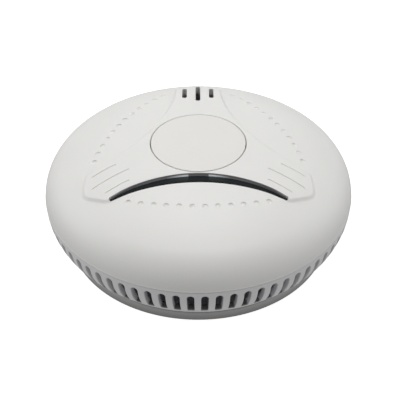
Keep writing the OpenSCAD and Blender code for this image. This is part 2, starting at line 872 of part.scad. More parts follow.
module circuit_board() {
    color("seagreen") difference() {
        translate([0, 0, board_z]) cylinder(r = board_r, h = board_t, $fn = fn_big);
        for (p = posts) translate([p[0], p[1], board_z - over])
            cylinder(d = pin_screw_d + 4 * screw_clear, h = board_t + 2 * over, $fn = fn_mid);
        lead_holes(board_z, board_t);
    }
}

// Holes for the leads of the emitter and the photodiode
module lead_holes(z, t) {
    for (a = [emitter_at, photodiode_at], s = [-1, 1])
        translate([0, chamber_y, 0]) rotate([0, 0, a]) translate([lead_r, s * lead_pitch / 2, z - over])
            cylinder(d = lead_d + 2 * lead_clear, h = t + 2 * over, $fn = fn_small);
}

// Optical chamber
module holder() {
    w = optic_d + 2 * holder_wall;
    translate([optic_back - optic_l, -w / 2, optic_z - w / 2])
        cube([optic_l, w, base_z + sink - optic_z + w / 2]);
}
module chamber_base() {
    color("dimgray") difference() {
        translate([0, chamber_y, 0]) difference() {
            union() {
                translate([0, 0, base_z]) cylinder(r = chamber_r, h = base_t, $fn = fn_big);
                for (a = [emitter_at, photodiode_at]) rotate([0, 0, a]) holder();
            }
            for (a = [emitter_at, photodiode_at]) rotate([0, 0, a])
                translate([optic_back - optic_l - over, 0, optic_z]) rotate([0, quarter, 0])
                    cylinder(d = optic_d + 2 * optic_clear, h = optic_l + 2 * over, $fn = fn_mid);
        }
        lead_holes(base_z, base_t);
    }
}
module vane() {
    h = base_z - vane_clear - chamber_low - cap_t + sink;
    translate([chamber_r - vane_inset, 0, chamber_low + cap_t - sink]) for (s = [-1, 1])
        rotate([0, 0, s * (quarter + vane_slant)])
            translate([-vane_t / 2, -vane_t / 2, 0]) cube([vane_l, vane_t, h]);
}
module chamber_cap() {
    color("dimgray") translate([0, chamber_y, 0]) {
        translate([0, 0, chamber_low]) cylinder(r = chamber_r, h = cap_t, $fn = fn_big);
        for (i = [0 : vane_count - 1]) rotate([0, 0, i * 2 * half_turn / vane_count]) vane();
    }
}
module insect_screen() {
    low = chamber_low + cap_t;
    h = base_z - low;
    gap = 2 * PI * chamber_r / screen_count - screen_bar;
    color("slategray") translate([0, chamber_y, 0]) difference() {
        translate([0, 0, low]) difference() {
            cylinder(r = chamber_r, h = h, $fn = fn_big);
            translate([0, 0, -over]) cylinder(r = chamber_r - screen_t, h = h + 2 * over, $fn = fn_big);
        }
        for (i = [0 : screen_count - 1]) rotate([0, 0, i * 2 * half_turn / screen_count])
            translate([chamber_r - 2 * screen_t, -gap / 2, low + screen_bar])
                cube([3 * screen_t, gap, h - 2 * screen_bar]);
    }
}
module optic() {
    pin_top = board_top + over - optic_z;
    translate([optic_back - optic_l + optic_d / 2, 0, 0]) rotate([0, quarter, 0])
        cylinder(d = optic_d, h = optic_l - optic_d / 2 + sink, $fn = fn_mid);
    translate([optic_back - optic_l + optic_d / 2, 0, 0]) sphere(d = optic_d, $fn = fn_mid);
    translate([optic_back, 0, 0]) rotate([0, quarter, 0])
        cylinder(d = optic_d + holder_wall, h = optic_rim, $fn = fn_mid);
    for (s = [-1, 1]) translate([0, s * lead_pitch / 2, 0]) {
        translate([optic_back + optic_rim / 2, 0, 0]) rotate([0, quarter, 0])
            cylinder(d = lead_d, h = lead_r - optic_back - optic_rim / 2, $fn = fn_small);
        translate([lead_r, 0, 0]) sphere(d = lead_d, $fn = fn_small);
        translate([lead_r, 0, 0]) cylinder(d = lead_d, h = pin_top, $fn = fn_small);
    }
}
module ir_emitter() {
    color("mediumpurple") translate([0, chamber_y, optic_z]) rotate([0, 0, emitter_at]) optic();
}
module photodiode() {
    color("black") translate([0, chamber_y, optic_z]) rotate([0, 0, photodiode_at]) optic();
}

// Sounder
module sounder_case() {
    color("black") translate([0, sounder_y, board_top]) difference() {
        cylinder(d = sounder_d, h = sounder_h, $fn = fn_big);
        translate([0, 0, ledge_h]) cylinder(r = cavity_r, h = sounder_h, $fn = fn_big);
        translate([0, 0, ledge_h / 2]) cylinder(r = cavity_r - sounder_ledge, h = sounder_h, $fn = fn_big);
    }
}
module sounder_lid() {
    color("black") translate([0, sounder_y, sounder_top - lid_t]) difference() {
        cylinder(r = cavity_r - sounder_clear, h = lid_t, $fn = fn_big);
        translate([0, 0, -over]) cylinder(d = sound_hole_d, h = lid_t + 2 * over, $fn = fn_mid);
    }
}
module brass_disc() {
    color("goldenrod") translate([0, sounder_y, ledge_z])
        cylinder(r = cavity_r - sounder_clear, h = disc_t, $fn = fn_big);
}
module ceramic_disc() {
    color("ivory") translate([0, sounder_y, ledge_z + disc_t])
        cylinder(d = ceramic_d, h = ceramic_t, $fn = fn_big);
}

// Test switch
module switch_body() {
    color("dimgray") difference() {
        translate([-switch_w / 2, -switch_w / 2, board_top]) cube([switch_w, switch_w, switch_h]);
        translate([0, 0, switch_top - plunger_in - button_travel - plunger_clear])
            cylinder(d = plunger_d + 2 * plunger_clear, h = switch_h, $fn = fn_mid);
    }
}
module switch_plunger() {
    color("tomato") translate([0, 0, switch_top - plunger_in])
        cylinder(d = plunger_d, h = plunger_in + plunger_out, $fn = fn_mid);
}

// Cell and its contact tabs
module cell() {
    color("steelblue") translate([-cell_left, cell_y, cell_z]) rotate([0, quarter, 0]) {
        translate([0, 0, -cell_l / 2]) cylinder(d = cell_d, h = cell_l, $fn = fn_big);
        translate([0, 0, cell_l / 2 - sink]) cylinder(d = nub_d, h = nub_h + sink, $fn = fn_mid);
    }
}
module tab(x) {
    low = cell_z - nub_d / 2;
    translate([x - cell_left, cell_y - tab_w / 2, low]) cube([tab_t, tab_w, board_z - low]);
}
module cell_tab_plus() {
    color("lightgray") tab(cell_l / 2 + nub_h);
}
module cell_tab_minus() {
    color("lightgray") tab(-cell_l / 2 - tab_t);
}

// Parts on the board
module microcontroller() {
    pitch = chip_l / chip_legs;
    color("black") translate([chip_at[0], chip_at[1], board_top]) {
        translate([-chip_l / 2, -chip_w / 2, leg_t / 2]) cube([chip_l, chip_w, chip_h - leg_t / 2]);
        for (i = [0 : chip_legs - 1]) translate([(i + 0.5) * pitch - chip_l / 2 - leg_w / 2, 0, 0])
            translate([0, -chip_w / 2 - chip_leg, 0]) cube([leg_w, chip_w + 2 * chip_leg, leg_t]);
    }
}
module capacitor() {
    color("darkslateblue") translate([cap_at[0], cap_at[1], board_top])
        cylinder(d = cap_d, h = cap_h, $fn = fn_mid);
}
module sounder_inductor() {
    color("saddlebrown") translate([coil_at[0], coil_at[1], board_top]) {
        cylinder(d = coil_d, h = coil_end, $fn = fn_mid);
        cylinder(d = coil_d - 2 * coil_waist, h = coil_h, $fn = fn_mid);
        translate([0, 0, coil_h - coil_end]) cylinder(d = coil_d, h = coil_end, $fn = fn_mid);
    }
}
module resistors() {
    color("dimgray") for (i = [0 : chip_r_count - 1])
        translate([chip_r_at[0] - chip_r_l / 2, chip_r_at[1] - i * chip_r_pitch - chip_r_w / 2, board_top])
            cube([chip_r_l, chip_r_w, chip_r_h]);
}

mounting_plate();
rear_housing();
front_cover();
test_button();
indicator_window();
light_guide();
status_led();
circuit_board();
chamber_base();
chamber_cap();
insect_screen();
ir_emitter();
photodiode();
sounder_case();
sounder_lid();
brass_disc();
ceramic_disc();
switch_body();
switch_plunger();
cell();
cell_tab_plus();
cell_tab_minus();
microcontroller();
capacitor();
sounder_inductor();
resistors();
housing_screws();
board_screws();
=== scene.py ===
"""Looks of a round domestic smoke detector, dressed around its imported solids."""
import json
import math

import bmesh
import bpy
from mathutils import Matrix, Vector


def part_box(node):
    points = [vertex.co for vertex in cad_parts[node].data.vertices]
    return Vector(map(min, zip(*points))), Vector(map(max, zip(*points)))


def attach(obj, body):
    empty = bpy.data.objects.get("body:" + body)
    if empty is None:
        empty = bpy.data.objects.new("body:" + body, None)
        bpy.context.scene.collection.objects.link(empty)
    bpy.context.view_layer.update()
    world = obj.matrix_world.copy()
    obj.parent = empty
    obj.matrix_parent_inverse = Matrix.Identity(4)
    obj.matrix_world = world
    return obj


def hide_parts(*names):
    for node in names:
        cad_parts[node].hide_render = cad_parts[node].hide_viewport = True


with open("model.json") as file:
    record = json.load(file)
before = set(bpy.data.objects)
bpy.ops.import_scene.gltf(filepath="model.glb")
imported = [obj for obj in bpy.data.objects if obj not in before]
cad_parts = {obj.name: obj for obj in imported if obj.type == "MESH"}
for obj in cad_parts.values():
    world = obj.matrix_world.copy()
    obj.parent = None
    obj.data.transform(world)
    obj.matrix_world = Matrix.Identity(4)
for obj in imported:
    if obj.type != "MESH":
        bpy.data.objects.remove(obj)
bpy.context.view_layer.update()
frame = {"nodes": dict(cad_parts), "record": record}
scene = bpy.context.scene

MM = 0.001
TURN = 2 * math.pi
RIGHT = math.pi / 2
TOUCH = 0.05 * MM
WELD = 0.001 * MM
SAME = 0.0001 * MM
ALONG_X = Vector((1, 0, 0))
ALONG_Y = Vector((0, 1, 0))
UP = Vector((0, 0, 1))

# Dome and wall of the front cover
BODY_R = 60 * MM
SEAM_Z = 21.6 * MM
CROWN_Z = 43.8 * MM
CROWN_R = 213 * MM
SHOULDER_R = 58 * MM
EDGE_R = 15 * MM
COVER_WALL = 2.2 * MM
SEAM_GAP = 0.2 * MM
SEAM_DEPTH = 0.4 * MM
SEAM_ROUND = 0.15 * MM
BEAD = 0.14 * MM
BEAD_H = 0.5 * MM
BEAD_RUN = 5 * MM

# Raised three-armed panel
PANEL_RISE = 0.85 * MM
PANEL_WAIST = 19.9 * MM
ARM_NECK = 43.2 * MM
ARM_HALF = 8.9 * MM
ARM_TIP = 49.3 * MM
TIP_FLAT = 0.7 * MM
PANEL_ROUND = 0.25 * MM
CORNER_ROUND = 1.6 * MM
ARM_TURN = math.radians(90)
THIRD = TURN / 3
ARMS = [ARM_TURN + i * THIRD for i in range(3)]
SIDES = [a + THIRD / 2 for a in ARMS]

# Test button and its bore
BUTTON_R = 18.1 * MM
BUTTON_GAP = 0.35 * MM
BORE_R = BUTTON_R + BUTTON_GAP
RIM_ROUND = 0.3 * MM
MOUTH_R = BORE_R + RIM_ROUND
BUTTON_T = 2 * MM
BUTTON_WALL = 1.6 * MM
STEM_R = 2.5 * MM
STEM_GAP = 0.1 * MM
LIP_OUT = 1.4 * MM
LIP_W = 7 * MM
LIP_T = 1.4 * MM
LIP_GAP = 0.3 * MM

# Crescent window
WINDOW_TOP = 19 * MM
WINDOW_BOTTOM = 23.05 * MM
WINDOW_HALF = 32.6 * MM
SWEEP_IN = 9.2 * MM
SWEEP_OUT = 6.6 * MM
WINDOW_RECESS = 0.15 * MM
WINDOW_CLEAR = 0.1 * MM
WINDOW_END = 0.65 * MM
EDGE_CLEAR = 0.02 * MM
EDGE_W = 0.55 * MM
EDGE_DROP = 0.05 * MM
# Painted light on the lens and its edge: the lens paler along its inner side, pale highlight strips that
# glow on the edge, and painted shade at the edge's tips and upper corner
LENS_LIGHT_FADE = (0.5 * MM, 3.5 * MM)
STRIP_START = (3.6 * MM, 3.9 * MM)
STRIP_END = (5.5 * MM, 12 * MM)
STRIP_GLOW = 0.22
TIP_SHADE = (18 * MM, 28 * MM)
CORNER_SHADE = (0.55 * MM, 0.7 * MM)
FLANGE_W = 1.2 * MM
FLANGE_T = 1 * MM

# Dents, grooves and sound slots
DENT_COUNT = 12
DENT_PITCH = 4.66 * MM
DENT_DISTANCE = 34.8 * MM
DENT_ROW_R = 86 * MM
DENT_D = 2.2 * MM
DENT_DEPTH = 0.55 * MM
MARK_PITCH = 5.45 * MM
MIDDLE_MARK = (29.8 * MM, 45.5 * MM)
SIDE_MARK = (32.6 * MM, 42.7 * MM)
GROOVE_W = 1 * MM
GROOVE_DEPTH = 0.25 * MM
SOUND_W = 1.9 * MM

# Vented skirt
SKIRT_R = 21.4 * MM
SKIRT_STEP = 0.1 * MM
SKIRT_FOOT = 0.5 * MM
SKIRT_WALL = 2.2 * MM
HEAD_Z = 4.4 * MM
FLOOR_Z = 6.4 * MM
VENT_COUNT = 72
VENT_TURN = 0.4
VENT_W = 2.8 * MM
VENT_LOW = 9.2 * MM
VENT_HIGH = 20 * MM
VENT_CORNER = 0.6 * MM
VENT_SOFT = 0.4 * MM
# Depths and heights over which painted shade darkens the vent slots' walls and sills
SLOT_SHADE = (0.05 * MM, 0.6 * MM)
SILL_SHADE = (VENT_LOW + 0.9 * MM, VENT_LOW + 0.3 * MM)

# Housing's floor, tongue, screw bosses, board posts and cell saddles
FLOOR_R = 49.95 * MM
TONGUE = (56.2 * MM, 57.4 * MM, 20.8 * MM, 24 * MM)
SCREW_RING = 46.5 * MM
SCREW_DIRS = [math.radians(a) for a in (60, 180, 300)]
BOSS_R = 3.4 * MM
BOSS_JOINT = 15 * MM
HEAD_HOLE_R = 2.8 * MM
HEAD_HOLE_TOP = 6.7 * MM
SCREW_HOLE_R = 1.55 * MM
POSTS = [(31 * MM, 11.3 * MM), (-31 * MM, 11.3 * MM), (8 * MM, -23.25 * MM)]
POST_R = 3 * MM
POST_HOLE_R = 1.15 * MM
POST_HOLE_LOW = 18.6 * MM
BOARD_Z = 26 * MM
CELL_Y = -36 * MM
CELL_Z = 16.5 * MM
SADDLE_R = 8.6 * MM
SADDLE_T = 3 * MM
SADDLE_W = 11.4 * MM
SADDLES = [-11.5 * MM, 6.5 * MM]

# Mounting plate with its bayonet hooks and screw slots
PLATE_INSET = 0.2 * MM
PLATE_H = 4 * MM
PLATE_T = 2 * MM
PLATE_RIM = 2 * MM
PLATE_ROUND = 0.8 * MM
PLATE_FOOT = 0.3 * MM
# Heights over which painted shade darkens the groove under the skirt
GROOVE_SHADE = (3.6 * MM, 3.9 * MM)
SCREW_SLOT = (25 * MM, 35 * MM, 4 * MM)
HOOK_R = 38 * MM
HOOK_T = 2.4 * MM
HOOK_CLEAR = 0.3 * MM
HOOK_POST = math.radians(4)
HOOK_REACH = math.radians(15)
HOOK_TWIST = math.radians(13)
HOOK_SLACK = HOOK_CLEAR / HOOK_R
LIP_LOW = 6.7 * MM
HOOK_TOP = 8.3 * MM

# Heights between which cuts go right through the cover
CUT_LOW = SEAM_Z + EDGE_R / 2
CUT_HIGH = CROWN_Z + EDGE_R

# Steps round circles, widths of the strips that curved faces are cut into, and the angle of a sharp edge
BRIM_STEPS = 192
BODY_STEPS = 144
WINDOW_STEPS = 64
BOSS_STEPS = 32
HOLE_STEPS = 24
SKIN_CUT = 2 * MM
GROOVE_CUT = 1.5 * MM
SKIRT_CUT = 1.1 * MM
WINDOW_CUT = 1 * MM
SADDLE_CUT = 0.6 * MM
SHARP = math.radians(35)

# Tones of the outer plastics, and the painted shade, highlights and glow mixed into them
COVER_TONE = (0.80, 0.795, 0.775)
BUTTON_TONE = (0.79, 0.78, 0.755)
HOUSING_TONE = (0.73, 0.725, 0.735)
SLOT_WALL_SHADE = (0.58, 0.57, 0.585)
SLOT_SILL_SHADE = (0.28, 0.27, 0.28)
PLATE_TONE = (0.47, 0.465, 0.46)
PLATE_SHADE = (0.20, 0.195, 0.195)
LENS_DEEP = (0.006, 0.007, 0.008)
LENS_DARK = (0.012, 0.014, 0.015)
LENS_PAINTED_LIGHT = (0.018, 0.022, 0.024)
LENS_HIGHLIGHT = (0.045, 0.052, 0.055)
EDGE_TONE = (0.33, 0.33, 0.332)
EDGE_HIGHLIGHT = (0.84, 0.88, 0.90)
EDGE_TIP_SHADE = (0.16, 0.16, 0.16)
EDGE_CORNER_SHADE = (0.07, 0.07, 0.07)
PAINTED_GLOW_TONE = (0.86, 0.95, 1.0)

# Tones of the board, the floor and the light
MASK_DARK = (0.012, 0.085, 0.040)
MASK_TONE = (0.020, 0.115, 0.055)
TRACK_TONE = (0.045, 0.200, 0.095)
FLOOR_TONE = (0.8, 0.8, 0.8)
WHITE = (1, 1, 1)
BLACK = (0, 0, 0)

# Camera, in metres and millimetres of film, and lights: place, width and power
AIM = Vector((0, 0, 0.020))
CAMERA_RISE = math.radians(38.84)
CAMERA_TURN = math.radians(-0.152)
CAMERA_ROLL = math.radians(-0.198)
CAMERA_DISTANCE = 0.450
FILM = 36
LENS = 102.5
SHIFT = (0.0039, -0.0232)
NEAREST = 0.01
FLOOR_HALF = 3
FLOOR_GLOW = 0.8
STUDIO = {"From Min": -0.15, "From Max": 0.15, "To Min": 0.51, "To Max": 0.36}
SOFTBOXES = {
    "overhead": ((0, 0.1, 0.8), 0.7, 3.4),
    "left": ((-0.8, 0.1, 0.35), 0.6, 1.7),
    "right": ((0.8, 0.1, 0.35), 0.6, 1.2),
    "back": ((0, 0.9, 0.35), 0.8, 0.5),
}


class Value:
    """A shader socket that joins in Python arithmetic, with one Math node for each step."""

    def __init__(self, finish, socket):
        self.finish = finish
        self.socket = socket

    def step(self, operation, *terms):
        return self.finish.node("ShaderNodeMath", {"operation": operation}, dict(enumerate(terms)))

    def __add__(self, other):
        return self.step("ADD", self, other)

    def __radd__(self, other):
        return self.step("ADD", other, self)

    def __sub__(self, other):
        return self.step("SUBTRACT", self, other)

    def __rsub__(self, other):
        return self.step("SUBTRACT", other, self)

    def __mul__(self, other):
        return self.step("MULTIPLY", self, other)

    def __rmul__(self, other):
        return self.step("MULTIPLY", other, self)

    def root(self):
        return self.step("SQRT", self)

    def share(self, low, high):
        """How far it has come from one value to another, from 0 to 1."""
        inputs = {"Value": self, "From Min": low, "From Max": high}
        return self.finish.node("ShaderNodeMapRange", None, inputs)


class Finish:
    """A material in the making: its node tree and its surface shader."""

    def __init__(self, name, **constants):
        self.material = bpy.data.materials.new(name)
        self.material.use_nodes = True
        self.tree = self.material.node_tree
        self.surface = self.tree.nodes["Principled BSDF"]
        self.set(constants)

    def node(self, kind, settings=None, inputs=None, output=0):
        made = self.tree.nodes.new(kind)
        for name, value in (settings or {}).items():
            setattr(made, name, value)
        for name, value in (inputs or {}).items():
            self.feed(made.inputs[name], value)
        return Value(self, made.outputs[output])

    def feed(self, socket, value):
        if isinstance(value, Value):
            self.tree.links.new(value.socket, socket)
        else:
            socket.default_value = value

    def set(self, inputs):
        for name, value in inputs.items():
            self.feed(self.surface.inputs[name.replace("_", " ")], value)

    def place(self):
        return self.node("ShaderNodeTexCoord", output="Object")

    def axes(self):
        """The three coordinates of the place, one by one."""
        place = self.place()
        return [self.node("ShaderNodeSeparateXYZ", None, {"Vector": place}, axis) for axis in "XYZ"]

    def noise(self, size, detail=2.0):
        """Noise from 0 to 1 whose spots are about size across."""
        inputs = {"Vector": self.place(), "Scale": 1 / size, "Detail": detail}
        return self.node("ShaderNodeTexNoise", None, inputs)

    def mix(self, share, first, second):
        """Colour between two colours, which are the node's sockets 6 and 7, with its output 2."""
        inputs = {"Factor": share, 6: first, 7: second}
        return self.node("ShaderNodeMix", {"data_type": "RGBA"}, inputs, 2)

    def bump(self, height, depth):
        """Normal of a surface whose height changes by depth."""
        inputs = {"Height": height, "Distance": depth, "Strength": 1.0}
        return self.node("ShaderNodeBump", None, inputs)


def rgb(tone):
    """Colour of a tone, with nothing shining through."""
    return (*tone, 1.0)


def darker(tone, share):
    """Tone with only a share of its light."""
    return tuple(share * c for c in tone)


def moulded_plastic(name, colour, roughness=0.46, grain=0.02 * MM, shading=None):
    """Matt moulding with a fine spark-eroded grain, a faint flow of tone and perhaps some painted shade."""
    finish = Finish(name, IOR=1.5)
    flow = finish.noise(22 * MM, 3.0)
    fine = finish.noise(0.35 * MM)
    base = finish.mix(flow, rgb(darker(colour, 0.955)), rgb(colour))
    finish.set({
        "Base Color": shading(finish, base) if shading else base,
        "Roughness": roughness - 0.06 + 0.08 * flow + 0.06 * fine,
        "Normal": finish.bump(fine, grain),
    })
    return finish.material


def slot_shading(finish, base):
    """Painted shade: turns darker below the skirt's skin, inside the vent slots, and dark on their sills.
    """
    x, y, z = finish.axes()
    out = (x * x + y * y).root() - SKIRT_AT.x
    down = z - SKIRT_AT.y
    depth = SKIRT_R - (out * out + down * down).root()
    inside = finish.mix(z.share(*SILL_SHADE), rgb(SLOT_WALL_SHADE), rgb(SLOT_SILL_SHADE))
    return finish.mix(depth.share(*SLOT_SHADE), base, inside)


def rim_shading(finish, base):
    """Painted shade: turns darker towards the ceiling, and dark in the groove under the skirt."""
    z = finish.axes()[2]
    rim = finish.mix(z.share(0, PLATE_H), rgb(PLATE_SHADE), base)
    return finish.mix(z.share(*GROOVE_SHADE), rim, rgb(PLATE_SHADE))


def painted_highlight_strips(x):
    """Share of the painted highlight strips on each side of the window's middle."""
    aside = (x * x).root()
    return aside.share(*STRIP_START) - aside.share(*STRIP_END)


def smoked_plastic(name):
    """Polished dark plastic, with painted light along its inner side and painted highlight strips beside
    its middle.
    """
    finish = Finish(name, IOR=1.32)
    cloud = finish.noise(9 * MM, 3.0)
    fine = finish.noise(0.3 * MM)
    x, y = finish.axes()[:2]
    ahead = y + WINDOW_TOP + RISE_IN
    inside = RISE_IN - (x * x + ahead * ahead).root()
    dark = finish.mix(cloud, rgb(LENS_DEEP), rgb(LENS_DARK))
    pale = finish.mix(painted_highlight_strips(x), rgb(LENS_PAINTED_LIGHT), rgb(LENS_HIGHLIGHT))
    finish.set({
        "Base Color": finish.mix(inside.share(*LENS_LIGHT_FADE), pale, dark),
        "Roughness": 0.10 + 0.06 * cloud,
        "Normal": finish.bump(fine, 0.002 * MM),
    })
    return finish.material


def edge_grey_with_painted_light(name):
    """Grey edge with painted shade in its upper corner and towards its tips, and two pale strips of painted
    highlight that also glow faintly.
    """
    finish = Finish(name, IOR=1.5, Emission_Strength=STRIP_GLOW)
    x, y, z = finish.axes()
    rise = z - CROWN_AT.y
    lift = (x * x + y * y + rise * rise).root() - CROWN_R
    fine = finish.noise(0.2 * MM)
    strips = painted_highlight_strips(x)
    corner = lift.share(*CORNER_SHADE)
    grey = finish.mix(strips, rgb(EDGE_TONE), rgb(EDGE_HIGHLIGHT))
    grey = finish.mix((x * x).root().share(*TIP_SHADE), grey, rgb(EDGE_TIP_SHADE))
    finish.set({
        "Base Color": finish.mix(corner, grey, rgb(EDGE_CORNER_SHADE)),
        "Emission Color": finish.mix(strips - corner, rgb(BLACK), rgb(PAINTED_GLOW_TONE)),
        "Roughness": 0.4 + 0.1 * fine,
        "Normal": finish.bump(fine, 0.005 * MM),
    })
    return finish.material


def plain_surface(name, colour, roughness):
    """Plain moulding, sleeve or ceramic with a faint change of tone."""
    finish = Finish(name, IOR=1.5)
    flow = finish.noise(6 * MM, 3.0)
    fine = finish.noise(0.2 * MM)
    finish.set({
        "Base Color": finish.mix(flow, rgb(darker(colour, 0.7)), rgb(colour)),
        "Roughness": roughness + 0.1 * fine,
        "Normal": finish.bump(fine, 0.01 * MM),
    })
    return finish.material


def worked_metal(name, colour, roughness, grain):
    """Metal with fine drawn streaks."""
    finish = Finish(name, Metallic=1.0)
    streaks = finish.node("ShaderNodeTexNoise", None, {
        "Vector": finish.node("ShaderNodeMapping", None, {
            "Vector": finish.place(),
            "Scale": (1 / (8 * MM), 1 / (0.3 * MM), 1 / (0.3 * MM)),
        }),
        "Scale": 1.0,
        "Detail": 3.0,
    })
    finish.set({
        "Base Color": finish.mix(streaks, rgb(darker(colour, 0.75)), rgb(colour)),
        "Roughness": roughness + 0.15 * streaks,
        "Normal": finish.bump(streaks, grain),
    })
    return finish.material


def clear_resin(name, colour):
    """Clear resin with a faint tint."""
    finish = Finish(name, IOR=1.49, Transmission_Weight=0.85)
    cloud = finish.noise(3 * MM)
    finish.set({
        "Base Color": finish.mix(cloud, rgb(darker(colour, 0.85)), rgb(colour)),
        "Roughness": 0.05 + 0.05 * cloud,
    })
    return finish.material


def board_laminate(name):
    """Green solder mask over copper tracks that run along both axes."""
    finish = Finish(name, IOR=1.5)
    place = finish.place()
    tracks = finish.node("ShaderNodeTexBrick", None, {
        "Vector": place, "Scale": 1 / (6 * MM), "Mortar Size": 0.04, "Mortar Smooth": 0.2,
        "Brick Width": 0.9, "Row Height": 0.35,
    }, output="Fac")
    cloud = finish.noise(5 * MM, 3.0)
    mask = finish.mix(cloud, rgb(MASK_DARK), rgb(MASK_TONE))
    finish.set({
        "Base Color": finish.mix(tracks, mask, rgb(TRACK_TONE)),
        "Roughness": 0.34 + 0.1 * cloud,
        "Normal": finish.bump(tracks, 0.03 * MM),
    })
    return finish.material


# The dome's arcs: centre and radius in the half section, and the direction in which each arc ends
CROWN_AT = Vector((0, CROWN_Z - CROWN_R))
EDGE_AT = Vector((BODY_R - EDGE_R, SEAM_Z))


def shoulder_centre():
    """Centre of the arc that meets the crown's arc and the edge's arc without a kink."""
    near = CROWN_R - SHOULDER_R
    far = SHOULDER_R - EDGE_R
    line = EDGE_AT - CROWN_AT
    foot = (near**2 - far**2 + line.length_squared) / (2 * line.length)
    aim = line.normalized()
    return CROWN_AT + foot * aim - math.sqrt(near**2 - foot**2) * Vector((aim.y, -aim.x))


SHOULDER_AT = shoulder_centre()
CROWN_END = (SHOULDER_AT - CROWN_AT).normalized()
SHOULDER_END = (EDGE_AT - SHOULDER_AT).normalized()
BRIM_R = EDGE_AT.x + EDGE_R * SHOULDER_END.x
BRIM_TURN = math.atan2(SHOULDER_END.y, SHOULDER_END.x)


def dome_z(r, lift=0.0):
    """Height of the dome at a radius, on its skin moved out by lift."""
    if r < CROWN_AT.x + (CROWN_R + lift) * CROWN_END.x:
        centre, radius = CROWN_AT, CROWN_R
    elif r < SHOULDER_AT.x + (SHOULDER_R + lift) * SHOULDER_END.x:
        centre, radius = SHOULDER_AT, SHOULDER_R
    else:
        centre, radius = EDGE_AT, EDGE_R
    return centre.y + math.sqrt((radius + lift) ** 2 - (r - centre.x) ** 2)


def polar(r, turn):
    """Point of the plan at a radius and a direction."""
    return Vector((r * math.cos(turn), r * math.sin(turn)))


# The panel's outline on one side of an arm that points along +X:
# a hollow side, a slanted tip and a flat end
NECK = Vector((ARM_NECK, ARM_HALF))
SIDE_TURN = THIRD / 2
NECK_OUT = NECK.dot(polar(1, SIDE_TURN))
SIDE_AT = (NECK.length_squared - PANEL_WAIST**2) / (2 * (NECK_OUT - PANEL_WAIST))
SIDE_R = SIDE_AT - PANEL_WAIST
SIDE_C = polar(SIDE_AT, SIDE_TURN)
TIP_OUT = Vector((ARM_HALF, ARM_TIP - ARM_NECK)).normalized()
TIP_ALONG = Vector((-TIP_OUT.y, TIP_OUT.x))
TIP_REACH = TIP_OUT.x * ARM_TIP
FLAT_X = ARM_TIP - TIP_FLAT


def soft_max(a, b):
    """The larger of two lengths, rounded where they are nearly alike."""
    near = max(CORNER_ROUND - abs(a - b), 0) / CORNER_ROUND
    return max(a, b) + near**2 * CORNER_ROUND / 4


def panel_distance(x, y):
    """How far a point of the plan lies outside the panel's upper edge."""
    turn = (math.atan2(y, x) - ARM_TURN + SIDE_TURN) % THIRD - SIDE_TURN
    spot = polar(math.hypot(x, y), abs(turn))
    side = SIDE_R - (spot - SIDE_C).length
    tip = spot.dot(TIP_OUT) - TIP_REACH
    return soft_max(soft_max(side, tip), spot.x - FLAT_X)


def panel_lift(distance):
    """Height above the dome: a slope as wide as it is high, rounded at its head and foot."""
    def area(d):
        inside = min(max(d, 0), PANEL_RISE)
        return PANEL_RISE * min(d, PANEL_RISE) - inside**2 / 2

    return (area(distance + PANEL_ROUND) - area(distance - PANEL_ROUND)) / (2 * PANEL_ROUND)


def cover_z(x, y):
    """Height of the cover's outer skin over a point of the plan."""
    return dome_z(math.hypot(x, y), panel_lift(panel_distance(x, y)))


def cover_normal(x, y, reach=0.02 * MM):
    """Direction in which the cover's outer skin faces."""
    fall_x = cover_z(x - reach, y) - cover_z(x + reach, y)
    fall_y = cover_z(x, y - reach) - cover_z(x, y + reach)
    return Vector((fall_x, fall_y, 2 * reach)).normalized()


def arc(centre, radius, start, end, steps):
    """Points along an arc, both ends among them."""
    return [centre + polar(radius, start + (end - start) * i / steps) for i in range(steps + 1)]


def circle(radius, steps, centre=Vector((0, 0))):
    """Points round a circle."""
    return arc(centre, radius, 0, TURN, steps)[:-1]


def panel_outline(out):
    """Outline of the panel's upper edge, moved out by a distance."""
    corner_x = FLAT_X + out
    corner = Vector((corner_x, (TIP_REACH + out - TIP_OUT.x * corner_x) / TIP_OUT.y))
    back = (corner - SIDE_C).dot(TIP_ALONG)
    run = -back - math.sqrt(back**2 - (corner - SIDE_C).length_squared + (SIDE_R - out) ** 2)
    neck = corner + run * TIP_ALONG
    start = SIDE_TURN + math.pi
    end = math.atan2(neck.y - SIDE_C.y, neck.x - SIDE_C.x) % TURN
    half = arc(SIDE_C, SIDE_R - out, start, end, 30)
    half += [neck.lerp(corner, i / 8) for i in range(1, 9)]
    arm = [Vector((p.x, -p.y)) for p in half] + half[:0:-1]
    return [polar(p.length, math.atan2(p.y, p.x) + a) for a in ARMS for p in arm]


def slot_outline(start, end, width, turn, side=0.0, steps=10):
    """Outline of a slot with round ends along a direction, moved to one side."""
    half = width / 2
    points = arc(Vector((end - half, side)), half, -RIGHT, RIGHT, steps)
    points += arc(Vector((start + half, side)), half, RIGHT, 3 * RIGHT, steps)
    return [polar(p.length, math.atan2(p.y, p.x) + turn) for p in points]


def arm_marks():
    """Start, end and sideways place of the three marks on an arm."""
    yield (*MIDDLE_MARK, 0.0)
    for side in (-MARK_PITCH, MARK_PITCH):
        yield (*SIDE_MARK, side)


def sector(inner, outer, start, end, steps=8):
    """Outline of a part of a flat ring between two directions."""
    middle = Vector((0, 0))
    return arc(middle, outer, start, end, steps) + arc(middle, inner, end, start, steps)


RISE_IN = (WINDOW_HALF**2 + SWEEP_IN**2) / (2 * SWEEP_IN)
RISE_OUT = (WINDOW_HALF**2 + SWEEP_OUT**2) / (2 * SWEEP_OUT)


